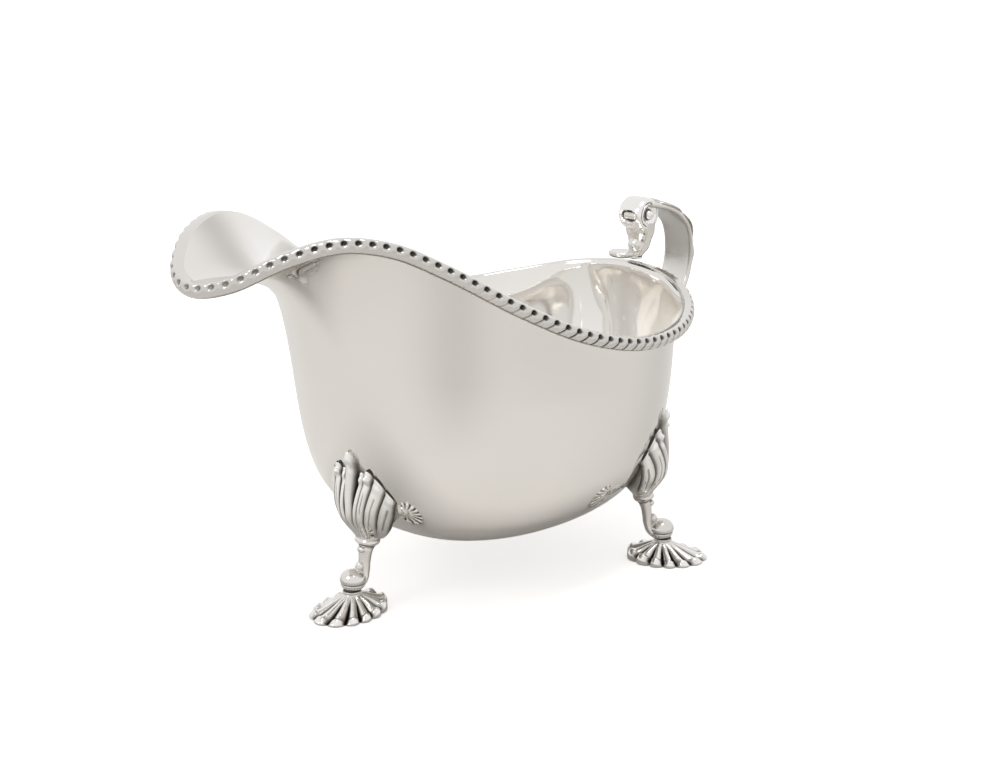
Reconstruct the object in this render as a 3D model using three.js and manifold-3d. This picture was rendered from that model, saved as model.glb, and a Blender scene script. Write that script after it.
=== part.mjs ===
// Silver sauce boat on three shell feet: a raised bowl, a gadroon border round its rim,
// three cast legs, and a cast scroll handle with a leaf on its back.
// Millimetres. +Z is up, the spout points along -X and the handle along +X.
// The origin is on the ground, below the middle of the whole length.
import * as THREE from 'three';
import { mergeVertices } from 'three/addons/utils/BufferGeometryUtils.js';
import Module from 'manifold-3d';

const wasm = await Module();
wasm.setup();

// Whole object. All x values below are measured from the middle of the rim.
const MIDDLE_OF_LENGTH = 11.3;
const SEAM_GAP = 0.3;

// Rim, one side: x, half width, height of the outer top edge, from the spout tip to the back.
const RIM_STATIONS = [
  [-80, 0, 95], [-77, 10, 97], [-67.5, 19, 102.5], [-55.5, 25, 105], [-42.5, 29.5, 102.5],
  [-29.5, 34, 96], [-10.5, 41, 84.5], [7, 45.5, 76], [27.5, 46.5, 70.5], [49, 42, 69.5],
  [66, 32, 71.5], [76.5, 18, 74.5], [80, 0, 76],
];

// Bowl: an egg-shaped belly outline, and a meridian in two cubic curves that meet there.
const BOWL = {
  wall: 1.0,
  centreX: 17,
  bottomZ: 14.5,
  bellyZ: 57.5,
  frontLength: 54,
  backLength: 61,
  halfWidth: 44,
  frontPower: 2.2,
  backPower: 1.95,
  bottomFullness: 0.8,
  sideFullness: 0.85,
  lean: { side: 0.05, spout: 0.3 },
  rimSlope: { side: 57, spout: 0 },
  wallReach: { side: 0.75, spout: 0.9 },
  lipReach: { side: 0.8, spout: 0.7 },
  spoutNarrowness: 20,
  around: 56,
  lowerSteps: 6,
  upperSteps: 6,
};

// Gadroon border: lobes that slant down towards the spout on the near side of the rim.
const BORDER = {
  lobes: 116,
  stepsPerLobe: 3,
  width: 2.3,
  height: 3.7,
  lobeDepth: 0.7,
  slant: 0.9,
};

// Cross-section of the border: how far out, how far up, and how deep its groove is cut.
const BORDER_SECTION = [
  { out: -BORDER.width, up: 0, groove: 0 },
  { out: -0.1, up: 0, groove: 0.2 },
  { out: 0.6, up: -1.1, groove: 1 },
  { out: 0.2, up: -3.1, groove: 0.8 },
  { out: -BORDER.width, up: -BORDER.height, groove: 0 },
];

// Legs: the place of each foot and the way its leg faces, in degrees about +Z.
const LEGS = [
  { name: 'front', x: -34, y: 0, facing: 180 },
  { name: 'rear_left', x: 53.5, y: -35.3, facing: -52 },
  { name: 'rear_right', x: 53.5, y: 35.3, facing: 52 },
];

// Knee shell: flutes that fan up from the collar, the middle one tallest.
const KNEE = {
  stepsPerFlute: 3,
  bottomZ: 18.9,
  bottomHalfWidth: 3.1,
  spread: 0.62,
  fluteDepth: 1.2,
  notch: 1.4,
  edgeStand: 1.5,
  leastStand: 1.3,
  flatness: 4,
  undercut: 0.45,
  bottomBack: -9.5,
  backSlope: 0.66,
  edgeOut: -6.3,
  edgeOutZ: 28.5,
  edgeSlope: 0.25,
  backing: 2.0,
};

// Flutes of one half of the knee, from the middle out: outer edge across, height of the tip.
const FLUTES = [[2, 43], [4.2, 37.6], [7, 38.3], [9.8, 35.8], [11.8, 31.3]];

// Rows of the knee shell: how far up each flute, and how far its lip swells there.
const KNEE_ROWS = [
  { rise: 0, lip: 0 }, { rise: 0.08, lip: 0 }, { rise: 0.19, lip: 0 }, { rise: 0.33, lip: 0 },
  { rise: 0.5, lip: 0 }, { rise: 0.67, lip: 0 }, { rise: 0.82, lip: 0.1 }, { rise: 0.93, lip: 0.5 },
  { rise: 1, lip: -0.6 },
];

// Front line of the knee shell, out from the middle of the foot against height.
const KNEE_FRONT = [
  [-4.6, 18.9], [-3.8, 20.5], [-1.4, 23.8], [-0.5, 26.3], [-0.3, 31.5], [0.2, 36], [1.1, 40.5],
  [1.2, 43],
];

// Shank from the collar down to the toe of its curl: out, height, half depth, half width.
const SHANK_LINE = [
  [-6.9, 18.6, 2.5, 3.1], [-6.9, 17.9, 2.7, 3.3], [-6.6, 17.2, 2.1, 2.6], [-6.2, 16.2, 1.7, 2.2],
  [-5.9, 14.8, 1.25, 1.9], [-5.6, 12.6, 1.15, 1.7], [-5.3, 10.4, 1.15, 1.8], [-4.3, 8.3, 1.3, 2],
  [-2.4, 6.9, 1.3, 2.1], [-0.6, 6.6, 1.1, 2],
];

const SHANK = {
  levelRings: 2,
  scroll: { out: -0.9, z: 8.75, radius: 2.75, halfWidth: 2.3, edge: 1.9, sides: 14 },
  neckOut: -1.2,
  sides: 12,
};

// Neck between the ankle scroll and the foot: height and radius.
const NECK_LINE = [[5.4, 2.3], [5.9, 2.5], [6.4, 2.1], [8, 1.6]];

const FOOT = {
  lobes: 13,
  stepsPerLobe: 3,
  halfLength: 11.4,
  halfWidth: 8.7,
  innerFocus: 2,
  neckRadius: 2.3,
  grooveDepth: 0.9,
};

// Foot from the neck out: share of the way, height away from the bowl and towards it, and
// how deep its grooves are cut.
const FOOT_PROFILE = [
  { reach: 0, z: 5.1, innerZ: 5.1, groove: 0 },
  { reach: 0.2, z: 3.9, innerZ: 4.7, groove: 0.4 },
  { reach: 0.5, z: 2.4, innerZ: 3.8, groove: 0.9 },
  { reach: 0.8, z: 1.7, innerZ: 3.1, groove: 1.1 },
  { reach: 0.95, z: 1.4, innerZ: 2.4, groove: 0.8 },
  { reach: 1, z: 0.7, innerZ: 1.3, groove: 0.3 },
  { reach: 0.93, z: 0, innerZ: 0, groove: 0 },
];

const HANDLE = {
  halfWidth: 4.9,
  tailHalfWidth: 3.4,
  taperFrom: 0.55,
  thickness: 1.7,
  strapSteps: 26,
  volute: { x: 81.4, z: 89.6, radius: 4.9, halfWidth: 4.1, sides: 20 },
  pocket: { x: 77.2, z: 89.4, radius: 2.2, halfWidth: 3.5, edge: 1.2, sides: 12 },
  bead: { x: 78.7, z: 89.4, radius: 1.4, halfWidth: 2.4, edge: 1, sides: 10 },
  column: { sides: 12, seatMargin: 1, seatEdge: 1 },
  tongueHalfWidth: 2,
  thumbPlate: { x: 73.8, z: 78.9, halfLength: 3.4, halfWidth: 3.9, sides: 20 },
};

// Middle line of the strap in the plane of symmetry, from the volute round to the wall.
const STRAP_LINE = [
  [81.4, 92.7], [84.9, 91.9], [89.5, 90.7], [94.5, 88.4], [98.5, 84.9], [100.3, 81], [100.8, 77.2],
  [100.6, 73.2], [99.5, 69.2], [97.4, 65], [93.6, 59.2], [88.2, 53.3], [81.8, 48.1], [76, 45.1],
  [71, 43.8],
];

// Cross-section of the strap, in half thicknesses out and half widths across.
const STRAP_SECTION = [
  [-1, -1], [0.6, -1], [1, -0.8], [1.1, 0], [1, 0.8], [0.6, 1], [-1, 1], [-0.4, 0.55],
  [-0.2, 0], [-0.4, -0.55],
];

// Side face of the volute, a boss in a dished ring: radius, and width past the drum's edge.
const VOLUTE_FACE = [
  [0, 0.3], [1.1, 0.3], [1.7, -0.5], [2.9, -0.5], [3.3, 0], [4, 0], [4.7, -0.7], [4.9, -1.8],
];

const LEAF = {
  from: 0.07,
  to: 0.6,
  steps: 24,
  lobes: 4,
  lobeDepth: 0.22,
  halfWidth: 5.5,
  ribHeight: 1.0,
  tipRib: 0.6,
  tipPower: 3,
  tipWidth: 0.14,
};

// Cross-section of the leaf: share of its half width, and height over its underside.
const LEAF_SECTION = [
  { across: -1, high: -0.2 }, { across: -1, high: 0.25 }, { across: -0.6, high: 0.65 },
  { across: -0.2, high: 0.45 }, { across: 0, high: LEAF.ribHeight }, { across: 0.2, high: 0.45 },
  { across: 0.6, high: 0.65 }, { across: 1, high: 0.25 }, { across: 1, high: -0.2 },
  { across: 0, high: 0 },
];

// Post from the volute down to the rim: x, height, half depth, half width.
const COLUMN_LINE = [
  [82.1, 87, 2.9, 4.7], [82.2, 84, 2.8, 4.2], [82.2, 82, 2.4, 3.7], [81.9, 80.6, 2.3, 3.3],
  [81.5, 79.2, 2.5, 3.4], [81.1, 78, 2.2, 3.1], [80.5, 77.2, 1.7, 2.6], [79.9, 76.4, 1.7, 2.6],
];

// Tongue from the post over the rim to the thumb plate: x, height, half thickness.
const TONGUE_LINE = [[80.6, 78.4, 1.1], [78.6, 78.1, 0.7], [76.6, 78.5, 0.6], [74.2, 78.9, 0.5]];

// Edge of the thumb plate, from its underside up: height from its middle, share of its size.
const PLATE_EDGE = [[-0.8, 0.85], [-0.4, 1], [0.4, 1], [0.8, 0.85]];

const UP = new THREE.Vector3(0, 0, 1);

// Geometry helpers

const clamp = (value, low, high) => Math.min(high, Math.max(low, value));
const mix = (a, b, share) => a + (b - a) * share;
const vec = (x, y, z) => new THREE.Vector3(x, y, z);
const flat = (pairs) => pairs.map(([x, y]) => new THREE.Vector2(x, y));

/** Turns the faces outward, judged by the sign of the enclosed volume. */
function facingOut(geometry) {
  const at = geometry.getAttribute('position');
  const index = geometry.getIndex();
  const a = new THREE.Vector3();
  const b = new THREE.Vector3();
  const c = new THREE.Vector3();
  let volume = 0;
  for (let i = 0; i < index.count; i += 3) {
    a.fromBufferAttribute(at, index.getX(i));
    b.fromBufferAttribute(at, index.getX(i + 1));
    c.fromBufferAttribute(at, index.getX(i + 2));
    volume += a.dot(b.cross(c));
  }
  if (volume < 0) {
    for (let i = 0; i < index.count; i += 3) {
      const second = index.getX(i + 1);
      index.setX(i + 1, index.getX(i + 2));
      index.setX(i + 2, second);
    }
  }
  return geometry;
}

/** Joins rings of points into one closed skin. A ring of one point is a pole. */
function skin(rings, endless = false) {
  const positions = [];
  const starts = [];
  for (const ring of rings) {
    starts.push(positions.length / 3);
    ring.forEach((p) => positions.push(p.x, p.y, p.z));
  }
  const count = Math.max(...rings.map((ring) => ring.length));
  const corner = (k, i) => starts[k] + (rings[k].length === 1 ? 0 : i % count);
  const faces = [];
  const last = endless ? rings.length : rings.length - 1;
  for (let k = 0; k < last; k += 1) {
    const next = (k + 1) % rings.length;
    for (let i = 0; i < count; i += 1) {
      if (rings[next].length > 1) {
        faces.push(corner(k, i), corner(next, i + 1), corner(next, i));
      }
      if (rings[k].length > 1) {
        faces.push(corner(k, i), corner(k, i + 1), corner(next, i + 1));
      }
    }
  }
  const geometry = new THREE.BufferGeometry();
  geometry.setAttribute('position', new THREE.Float32BufferAttribute(positions, 3));
  geometry.setIndex(faces);
  return facingOut(geometry);
}

/** The middle of a ring, used as the pole of a flat end. */
function middle(ring) {
  const sum = ring.reduce((total, p) => total.add(p), new THREE.Vector3());
  return sum.divideScalar(ring.length);
}

/** A skin with a flat cap on its first and last ring. */
function cappedSkin(rings) {
  return skin([[middle(rings[0])], ...rings, [middle(rings[rings.length - 1])]]);
}

/** A closed skin over two grids of points with the same layout, front and back. */
function slab(front, back) {
  const rows = front.length;
  const columns = front[0].length;
  const positions = [...front.flat(), ...back.flat()].flatMap((p) => p.toArray());
  const corner = (side, j, i) => side * rows * columns + j * columns + i;
  const faces = [];
  const quad = (a, b, c, d) => faces.push(a, b, c, a, c, d);
  for (let j = 0; j + 1 < rows; j += 1) {
    for (let i = 0; i + 1 < columns; i += 1) {
      quad(corner(0, j, i), corner(0, j, i + 1), corner(0, j + 1, i + 1), corner(0, j + 1, i));
      quad(corner(1, j, i), corner(1, j + 1, i), corner(1, j + 1, i + 1), corner(1, j, i + 1));
    }
  }
  const rim = [];
  for (let i = 0; i + 1 < columns; i += 1) {
    rim.push([0, i]);
  }
  for (let j = 0; j + 1 < rows; j += 1) {
    rim.push([j, columns - 1]);
  }
  for (let i = columns - 1; i > 0; i -= 1) {
    rim.push([rows - 1, i]);
  }
  for (let j = rows - 1; j > 0; j -= 1) {
    rim.push([j, 0]);
  }
  rim.forEach(([j, i], k) => {
    const [nextJ, nextI] = rim[(k + 1) % rim.length];
    quad(corner(1, j, i), corner(1, nextJ, nextI), corner(0, nextJ, nextI), corner(0, j, i));
  });
  const geometry = new THREE.BufferGeometry();
  geometry.setAttribute('position', new THREE.Float32BufferAttribute(positions, 3));
  geometry.setIndex(faces);
  return facingOut(geometry);
}

/** A ring of points, each made from its angle. */
function ringOf(sides, pointAt) {
  return Array.from({ length: sides }, (_, i) => pointAt((i / sides) * 2 * Math.PI));
}

/** A closed three.js geometry as a solid for joining and cutting. */
function solid(geometry) {
  const plain = geometry.clone();
  plain.deleteAttribute('normal');
  plain.deleteAttribute('uv');
  const welded = facingOut(mergeVertices(plain, 1e-4));
  return new wasm.Manifold(new wasm.Mesh({
    numProp: 3,
    vertProperties: new Float32Array(welded.getAttribute('position').array),
    triVerts: new Uint32Array(welded.getIndex().array),
  }));
}

/** A solid as a three.js geometry. */
function geometryOf(body) {
  const mesh = body.getMesh();
  const geometry = new THREE.BufferGeometry();
  geometry.setAttribute('position', new THREE.BufferAttribute(mesh.vertProperties, 3));
  geometry.setIndex(new THREE.BufferAttribute(mesh.triVerts, 1));
  return geometry;
}

/** A drum about the Y axis, from one side's profile of radius against half width. */
function lathedDrum(profile, centre, sides) {
  const side = profile.map(([radius, half]) => new THREE.Vector2(radius, -half));
  const mirrored = side.map((p) => new THREE.Vector2(p.x, -p.y)).reverse();
  const geometry = new THREE.LatheGeometry([...side, ...mirrored], sides);
  return geometry.translate(centre.x, centre.y, centre.z);
}

/** A drum about the Y axis with rounded edges. */
function roundedDrum({ radius, halfWidth, edge, sides }, centre) {
  const quarter = [0, Math.PI / 6, Math.PI / 3, Math.PI / 2].map((turn) => [
    radius - edge + edge * Math.sin(turn),
    halfWidth - edge + edge * Math.cos(turn),
  ]);
  return lathedDrum([[0, halfWidth], ...quarter], centre, sides);
}

// Rim

const near = RIM_STATIONS.map(([x, half, z]) => vec(x, -half, z));
const far = RIM_STATIONS.slice(1, -1).reverse().map(([x, half, z]) => vec(x, half, z));
const rimCurve = new THREE.CatmullRomCurve3([...near, ...far], true, 'centripetal');
rimCurve.arcLengthDivisions = 2000;

/** The rim's outer top edge with its own axes out and up, at a share of its length. */
function rimFrame(share) {
  const place = (share + 1) % 1;
  const at = rimCurve.getPointAt(place);
  const along = rimCurve.getTangentAt(place);
  const up = UP.clone().addScaledVector(along, -UP.dot(along)).normalize();
  return { at, up, out: along.cross(up) };
}

// Bowl

/** How far a direction belongs to the spout, from 0 at the sides to 1 at the tip. */
const spoutShare = (angle) => ((1 - Math.cos(angle)) / 2) ** BOWL.spoutNarrowness;

/** Distance from the bowl's axis to its belly outline, an egg in plan. */
function bellyRadius(angle) {
  const front = Math.cos(angle) < 0;
  const length = front ? BOWL.frontLength : BOWL.backLength;
  const power = front ? BOWL.frontPower : BOWL.backPower;
  const lengthwise = Math.abs(Math.cos(angle) / length) ** power;
  const crosswise = Math.abs(Math.sin(angle) / BOWL.halfWidth) ** power;
  return (lengthwise + crosswise) ** (-1 / power);
}

/** The part of a meridian below the belly, as radius and height. */
function lowerMeridian(angle) {
  const radius = bellyRadius(angle);
  const lean = mix(BOWL.lean.side, BOWL.lean.spout, spoutShare(angle));
  const side = (BOWL.bellyZ - BOWL.bottomZ) * BOWL.sideFullness;
  return new THREE.CubicBezierCurve(
    new THREE.Vector2(0, BOWL.bottomZ),
    new THREE.Vector2(radius * BOWL.bottomFullness, BOWL.bottomZ),
    new THREE.Vector2(radius - lean * side, BOWL.bellyZ - side),
    new THREE.Vector2(radius, BOWL.bellyZ),
  );
}

/** The part of a meridian above the belly, which turns out to the rim. */
function upperMeridian(angle, rimRadius, rimZ) {
  const share = spoutShare(angle);
  const lean = mix(BOWL.lean.side, BOWL.lean.spout, share);
  const slope = THREE.MathUtils.degToRad(mix(BOWL.rimSlope.side, BOWL.rimSlope.spout, share));
  const start = new THREE.Vector2(bellyRadius(angle), BOWL.bellyZ);
  const end = new THREE.Vector2(rimRadius, rimZ - BOWL.wall * Math.cos(slope));
  const lip = new THREE.Vector2(Math.cos(slope), Math.sin(slope));
  const overhang = end.x - start.x - lean * (end.y - start.y);
  const reach = Math.max(1, overhang / (lip.x - lean * lip.y));
  const corner = end.clone().addScaledVector(lip, -reach);
  const wallReach = mix(BOWL.wallReach.side, BOWL.wallReach.spout, share);
  const lipReach = mix(BOWL.lipReach.side, BOWL.lipReach.spout, share);
  return new THREE.CubicBezierCurve(
    start,
    start.clone().lerp(corner, wallReach),
    end.clone().lerp(corner, lipReach),
    end,
  );
}

/** Points of one meridian, moved outward from the outer face by the given distance. */
function meridian(angle, rimRadius, rimZ, distance) {
  const points = [];
  const add = (curve, first, steps) => {
    for (let k = first; k <= steps; k += 1) {
      const tangent = curve.getTangent(k / steps);
      const point = curve.getPoint(k / steps);
      points.push(vec(point.x + distance * tangent.y, 0, point.y - distance * tangent.x));
    }
  };
  add(lowerMeridian(angle), 0, BOWL.lowerSteps);
  add(upperMeridian(angle, rimRadius, rimZ), 1, BOWL.upperSteps);
  return points;
}

/** Rings of the bowl's face, from the bottom up, moved outward by the given distance. */
function bowlRings(distance) {
  const columns = [];
  for (let i = 0; i < BOWL.around; i += 1) {
    const { at, out } = rimFrame(i / BOWL.around);
    const edge = at.addScaledVector(out, -(BORDER.width + SEAM_GAP));
    const x = edge.x - BOWL.centreX;
    const angle = Math.atan2(edge.y, x);
    columns.push(meridian(angle, Math.hypot(x, edge.y), edge.z - SEAM_GAP, distance)
      .map((p) => vec(BOWL.centreX + p.x * Math.cos(angle), p.x * Math.sin(angle), p.z)));
  }
  const rings = columns[0].map((_, k) => columns.map((column) => column[k]));
  rings[0] = [columns[0][0]];
  return rings;
}

function bowlGeometry() {
  const outside = bowlRings(0);
  const inside = bowlRings(-BOWL.wall).reverse();
  return skin([...outside, ...inside]);
}

/** The bowl as a filled block, larger by the seam gap, that trims what is soldered to it. */
function bowlBlock() {
  const top = vec(BOWL.centreX, 0, BOWL.bellyZ);
  return solid(skin([...bowlRings(SEAM_GAP), [top]]));
}

/** Halves an interval until it holds the place where a test turns false. */
function turningPoint(low, high, holds) {
  let inside = low;
  let outside = high;
  for (let k = 0; k < 24; k += 1) {
    const half = (inside + outside) / 2;
    if (holds(half)) {
      inside = half;
    } else {
      outside = half;
    }
  }
  return inside;
}

/** Distance from the bowl's axis to its outer face at a height below the belly. */
function wallRadius(angle, z) {
  const curve = lowerMeridian(angle);
  return curve.getPoint(turningPoint(0, 1, (share) => curve.getPoint(share).y < z)).x;
}

// Gadroon border

function borderGeometry() {
  const steps = BORDER.lobes * BORDER.stepsPerLobe;
  const rings = [];
  for (let i = 0; i < steps; i += 1) {
    const lobe = i / BORDER.stepsPerLobe;
    const groove = (1 + Math.cos(2 * Math.PI * lobe)) / 2;
    rings.push(BORDER_SECTION.map((corner) => {
      const shift = BORDER.slant * (corner.up / BORDER.height);
      const { at, out, up } = rimFrame((lobe + shift) / BORDER.lobes);
      const depth = BORDER.lobeDepth * corner.groove * groove;
      return at.addScaledVector(out, corner.out - depth).addScaledVector(up, corner.up);
    }));
  }
  return skin(rings, true);
}

// Legs. Each leg has its own axes: out from the bowl, across, and up.

/** A point in a leg's own axes, as a point of the whole object. */
function legPoint(leg, out, across, z) {
  const facing = THREE.MathUtils.degToRad(leg.facing);
  return vec(
    leg.x + out * Math.cos(facing) - across * Math.sin(facing),
    leg.y + out * Math.sin(facing) + across * Math.cos(facing),
    z,
  );
}

/** Where the bowl's outer face lies behind a leg, measured outward from the foot's middle. */
function wallBehind(leg, across, z) {
  return turningPoint(-30, 6, (out) => {
    const point = legPoint(leg, out, across, z);
    const x = point.x - BOWL.centreX;
    return Math.hypot(x, point.y) < wallRadius(Math.atan2(point.y, x), z);
  });
}

const kneeFront = new THREE.SplineCurve(flat(KNEE_FRONT));

/** The knee's front line at a height, out from the middle of the foot. */
function kneeFrontAt(z) {
  return kneeFront.getPoint(turningPoint(0, 1, (share) => kneeFront.getPoint(share).y < z)).x;
}

/** Columns of points over the knee: place across, height at the top, and depth of groove. */
function kneeColumns() {
  const edges = [...FLUTES.map(([edge]) => -edge).reverse(), ...FLUTES.map(([edge]) => edge)];
  const tips = [...FLUTES.slice(1).reverse(), ...FLUTES].map(([, tip]) => tip);
  const columns = [];
  for (let i = 0; i <= tips.length * KNEE.stepsPerFlute; i += 1) {
    const flute = Math.floor(i / KNEE.stepsPerFlute);
    const within = i / KNEE.stepsPerFlute - flute;
    const valley = 1 - Math.sin(within * Math.PI);
    const left = tips[Math.max(0, flute - 1)];
    const right = tips[Math.min(tips.length - 1, flute)];
    columns.push({
      across: mix(edges[flute], edges[Math.min(edges.length - 1, flute + 1)], within),
      top: within > 0 ? right : Math.min(left, right) - KNEE.notch,
      valley,
    });
  }
  return columns;
}

const KNEE_COLUMNS = kneeColumns();
const KNEE_HALF_WIDTH = KNEE_COLUMNS[KNEE_COLUMNS.length - 1].across;

/** Narrows a place across the knee towards the collar. */
function kneeAcross(across, rise) {
  const bottom = (across * KNEE.bottomHalfWidth) / KNEE_HALF_WIDTH;
  return mix(bottom, across, rise ** KNEE.spread);
}

/** A point of the knee's fluted face. */
function kneeFace(leg, column, { rise, lip }) {
  const across = kneeAcross(column.across, rise);
  const z = mix(KNEE.bottomZ, column.top, rise);
  const wall = wallBehind(leg, across, z);
  const edge = KNEE.edgeOut - KNEE.edgeSlope * (KNEE.edgeOutZ - z);
  const front = Math.max(kneeFrontAt(z), wall + KNEE.leastStand);
  const side = Math.abs(column.across / KNEE_HALF_WIDTH) ** KNEE.flatness;
  const out = mix(front, Math.max(wall + KNEE.edgeStand, edge), side);
  const groove = KNEE.fluteDepth * column.valley * Math.sqrt(rise);
  return legPoint(leg, out + lip * (1 - column.valley) - groove, across, z);
}

/** A point of the knee's back: inside the bowl's wall, or below it on a slope to the collar. */
function kneeBack(leg, column, { rise }) {
  const across = kneeAcross(column.across, rise) * mix(KNEE.undercut, 1, rise);
  const z = mix(KNEE.bottomZ, column.top, rise);
  const slope = KNEE.bottomBack - KNEE.backSlope * (z - KNEE.bottomZ);
  return legPoint(leg, Math.max(wallBehind(leg, across, z) - KNEE.backing, slope), across, z);
}

/** Scallop-shell knee: a fluted face, undercut at the sides, on a back cut to lie on the bowl. */
function kneeGeometry(leg, block) {
  const face = KNEE_ROWS.map((row) => KNEE_COLUMNS.map((column) => kneeFace(leg, column, row)));
  const back = KNEE_ROWS.map((row) => KNEE_COLUMNS.map((column) => kneeBack(leg, column, row)));
  return geometryOf(solid(slab(face, back)).subtract(block));
}

/** Collar, shank and ankle scroll of one leg, cast in one. */
function shankGeometry(leg) {
  const middleLine = new THREE.SplineCurve(flat(SHANK_LINE));
  const rings = SHANK_LINE.map(([out, z, depth, width], k) => {
    const along = middleLine.getTangent(k / (SHANK_LINE.length - 1));
    const normal = k < SHANK.levelRings ? new THREE.Vector2(1, 0) : new THREE.Vector2(-along.y, along.x);
    return ringOf(SHANK.sides, (turn) => {
      const off = depth * Math.cos(turn);
      return legPoint(leg, out + normal.x * off, width * Math.sin(turn), z + normal.y * off);
    });
  });
  const { scroll } = SHANK;
  const ball = roundedDrum(scroll, vec(0, 0, 0));
  ball.rotateZ(THREE.MathUtils.degToRad(leg.facing));
  ball.translate(...legPoint(leg, scroll.out, 0, scroll.z).toArray());
  const neck = cappedSkin(NECK_LINE.map(([z, radius]) => ringOf(SHANK.sides, (turn) => (
    legPoint(leg, SHANK.neckOut + radius * Math.cos(turn), radius * Math.sin(turn), z)
  ))));
  return geometryOf(solid(cappedSkin(rings)).add(solid(ball)).add(solid(neck)));
}

/** Shell foot: lobes that spread from the neck and swell at their ends, flat below. */
function footGeometry(leg) {
  const spokes = FOOT.lobes * FOOT.stepsPerLobe;
  return cappedSkin(FOOT_PROFILE.map(({ reach, z, innerZ, groove }) => ringOf(spokes, (start) => {
    const turn = start + Math.PI / spokes;
    const inner = ((1 - Math.cos(turn)) / 2) ** FOOT.innerFocus;
    const cut = FOOT.grooveDepth * (1 - Math.abs(Math.cos((turn * FOOT.lobes) / 2)));
    const full = 1 / Math.hypot(Math.cos(turn) / FOOT.halfLength, Math.sin(turn) / FOOT.halfWidth);
    const radius = mix(FOOT.neckRadius, full - cut, reach);
    const out = mix(SHANK.neckOut, 0, reach) + radius * Math.cos(turn);
    return legPoint(leg, out, radius * Math.sin(turn), mix(z, innerZ, inner) - cut * groove);
  })));
}

// Handle

const strapCurve = new THREE.SplineCurve(flat(STRAP_LINE));

/** A place on the strap: out from its middle line, away from the finger gap, and across. */
function strapPlacer(share) {
  const at = strapCurve.getPointAt(share);
  const along = strapCurve.getTangentAt(share);
  return (out, across) => vec(at.x - along.y * out, across, at.y + along.x * out);
}

/** Scroll casting: the strap, and the volute at its end with a bead in its front pocket. */
function scrollGeometry(block) {
  const { volute, pocket, bead } = HANDLE;
  const rings = [];
  for (let k = 0; k <= HANDLE.strapSteps; k += 1) {
    const share = k / HANDLE.strapSteps;
    const narrowing = clamp((share - HANDLE.taperFrom) / (1 - HANDLE.taperFrom), 0, 1);
    const half = mix(HANDLE.halfWidth, HANDLE.tailHalfWidth, narrowing);
    const place = strapPlacer(share);
    rings.push(STRAP_SECTION.map(([out, across]) => (
      place((out * HANDLE.thickness) / 2, across * half)
    )));
  }
  const face = VOLUTE_FACE.map(([radius, past]) => [radius, volute.halfWidth + past]);
  const drum = lathedDrum(face, vec(volute.x, 0, volute.z), volute.sides);
  const hollow = roundedDrum(pocket, vec(pocket.x, 0, pocket.z));
  const roller = roundedDrum(bead, vec(bead.x, 0, bead.z));
  const strap = solid(cappedSkin(rings)).subtract(block);
  return geometryOf(strap.add(solid(drum)).subtract(solid(hollow)).add(solid(roller)));
}

/** Acanthus leaf over the strap's back: lobed edges, a raised midrib and a narrow tip. */
function leafGeometry() {
  const crown = Math.max(...STRAP_SECTION.map(([out]) => out));
  const under = (crown * HANDLE.thickness) / 2 + SEAM_GAP;
  const rings = [];
  for (let k = 0; k <= LEAF.steps; k += 1) {
    const grown = k / LEAF.steps;
    const place = strapPlacer(mix(LEAF.from, LEAF.to, grown));
    const lobe = Math.abs(Math.sin(grown * LEAF.lobes * Math.PI));
    const taper = Math.max(LEAF.tipWidth, Math.sqrt(1 - grown ** LEAF.tipPower));
    const half = LEAF.halfWidth * taper * mix(1 - LEAF.lobeDepth, 1, lobe);
    const height = mix(1, LEAF.tipRib, grown);
    rings.push(LEAF_SECTION.map(({ across, high }) => (
      place(under + Math.max(high * height, high), across * half)
    )));
  }
  return cappedSkin(rings);
}

/** Column casting: the short post under the volute, and a thumb plate that reaches inward. */
function columnGeometry() {
  const { column, thumbPlate, volute } = HANDLE;
  const post = COLUMN_LINE.map(([x, z, depth, width]) => ringOf(column.sides, (turn) => (
    vec(x + depth * Math.cos(turn), width * Math.sin(turn), z)
  )));
  const side = HANDLE.tongueHalfWidth;
  const tongue = TONGUE_LINE.map(([x, z, half]) => [
    vec(x, -side, z - half), vec(x, side, z - half), vec(x, side, z + half), vec(x, -side, z + half),
  ]);
  const plate = PLATE_EDGE.map(([rise, share]) => ringOf(thumbPlate.sides, (turn) => vec(
    thumbPlate.x + thumbPlate.halfLength * share * Math.cos(turn),
    thumbPlate.halfWidth * share * Math.sin(turn),
    thumbPlate.z + rise,
  )));
  const seat = roundedDrum({
    radius: volute.radius + SEAM_GAP,
    halfWidth: volute.halfWidth + column.seatMargin,
    edge: column.seatEdge,
    sides: volute.sides,
  }, vec(volute.x, 0, volute.z));
  const inward = solid(cappedSkin(tongue)).add(solid(cappedSkin(plate)));
  return geometryOf(solid(cappedSkin(post)).add(inward).subtract(solid(seat)));
}

const SILVER = { roughness: 0.18, metalness: 1 };

/** One named piece in its own material. */
function piece(name, geometry, colour) {
  const material = new THREE.MeshStandardMaterial({ color: colour, ...SILVER });
  const mesh = new THREE.Mesh(geometry, material);
  mesh.name = name;
  return mesh;
}

const block = bowlBlock();
const jug = new THREE.Group();
jug.position.x = -MIDDLE_OF_LENGTH;
jug.add(piece('bowl', bowlGeometry(), '#d9d5ce'));
jug.add(piece('gadroon_border', borderGeometry(), '#d2cec6'));
for (const leg of LEGS) {
  jug.add(piece(`${leg.name}_knee_shell`, kneeGeometry(leg, block), '#cfcbc4'));
  jug.add(piece(`${leg.name}_leg`, shankGeometry(leg), '#cbc7c0'));
  jug.add(piece(`${leg.name}_foot`, footGeometry(leg), '#c6c2bb'));
}
jug.add(piece('handle_scroll', scrollGeometry(block), '#d4d0c9'));
jug.add(piece('handle_leaf', leafGeometry(), '#c9c5be'));
jug.add(piece('handle_column', columnGeometry(), '#cfcbc4'));

const sauceBoat = new THREE.Group();
sauceBoat.add(jug);

export default sauceBoat;
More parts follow.
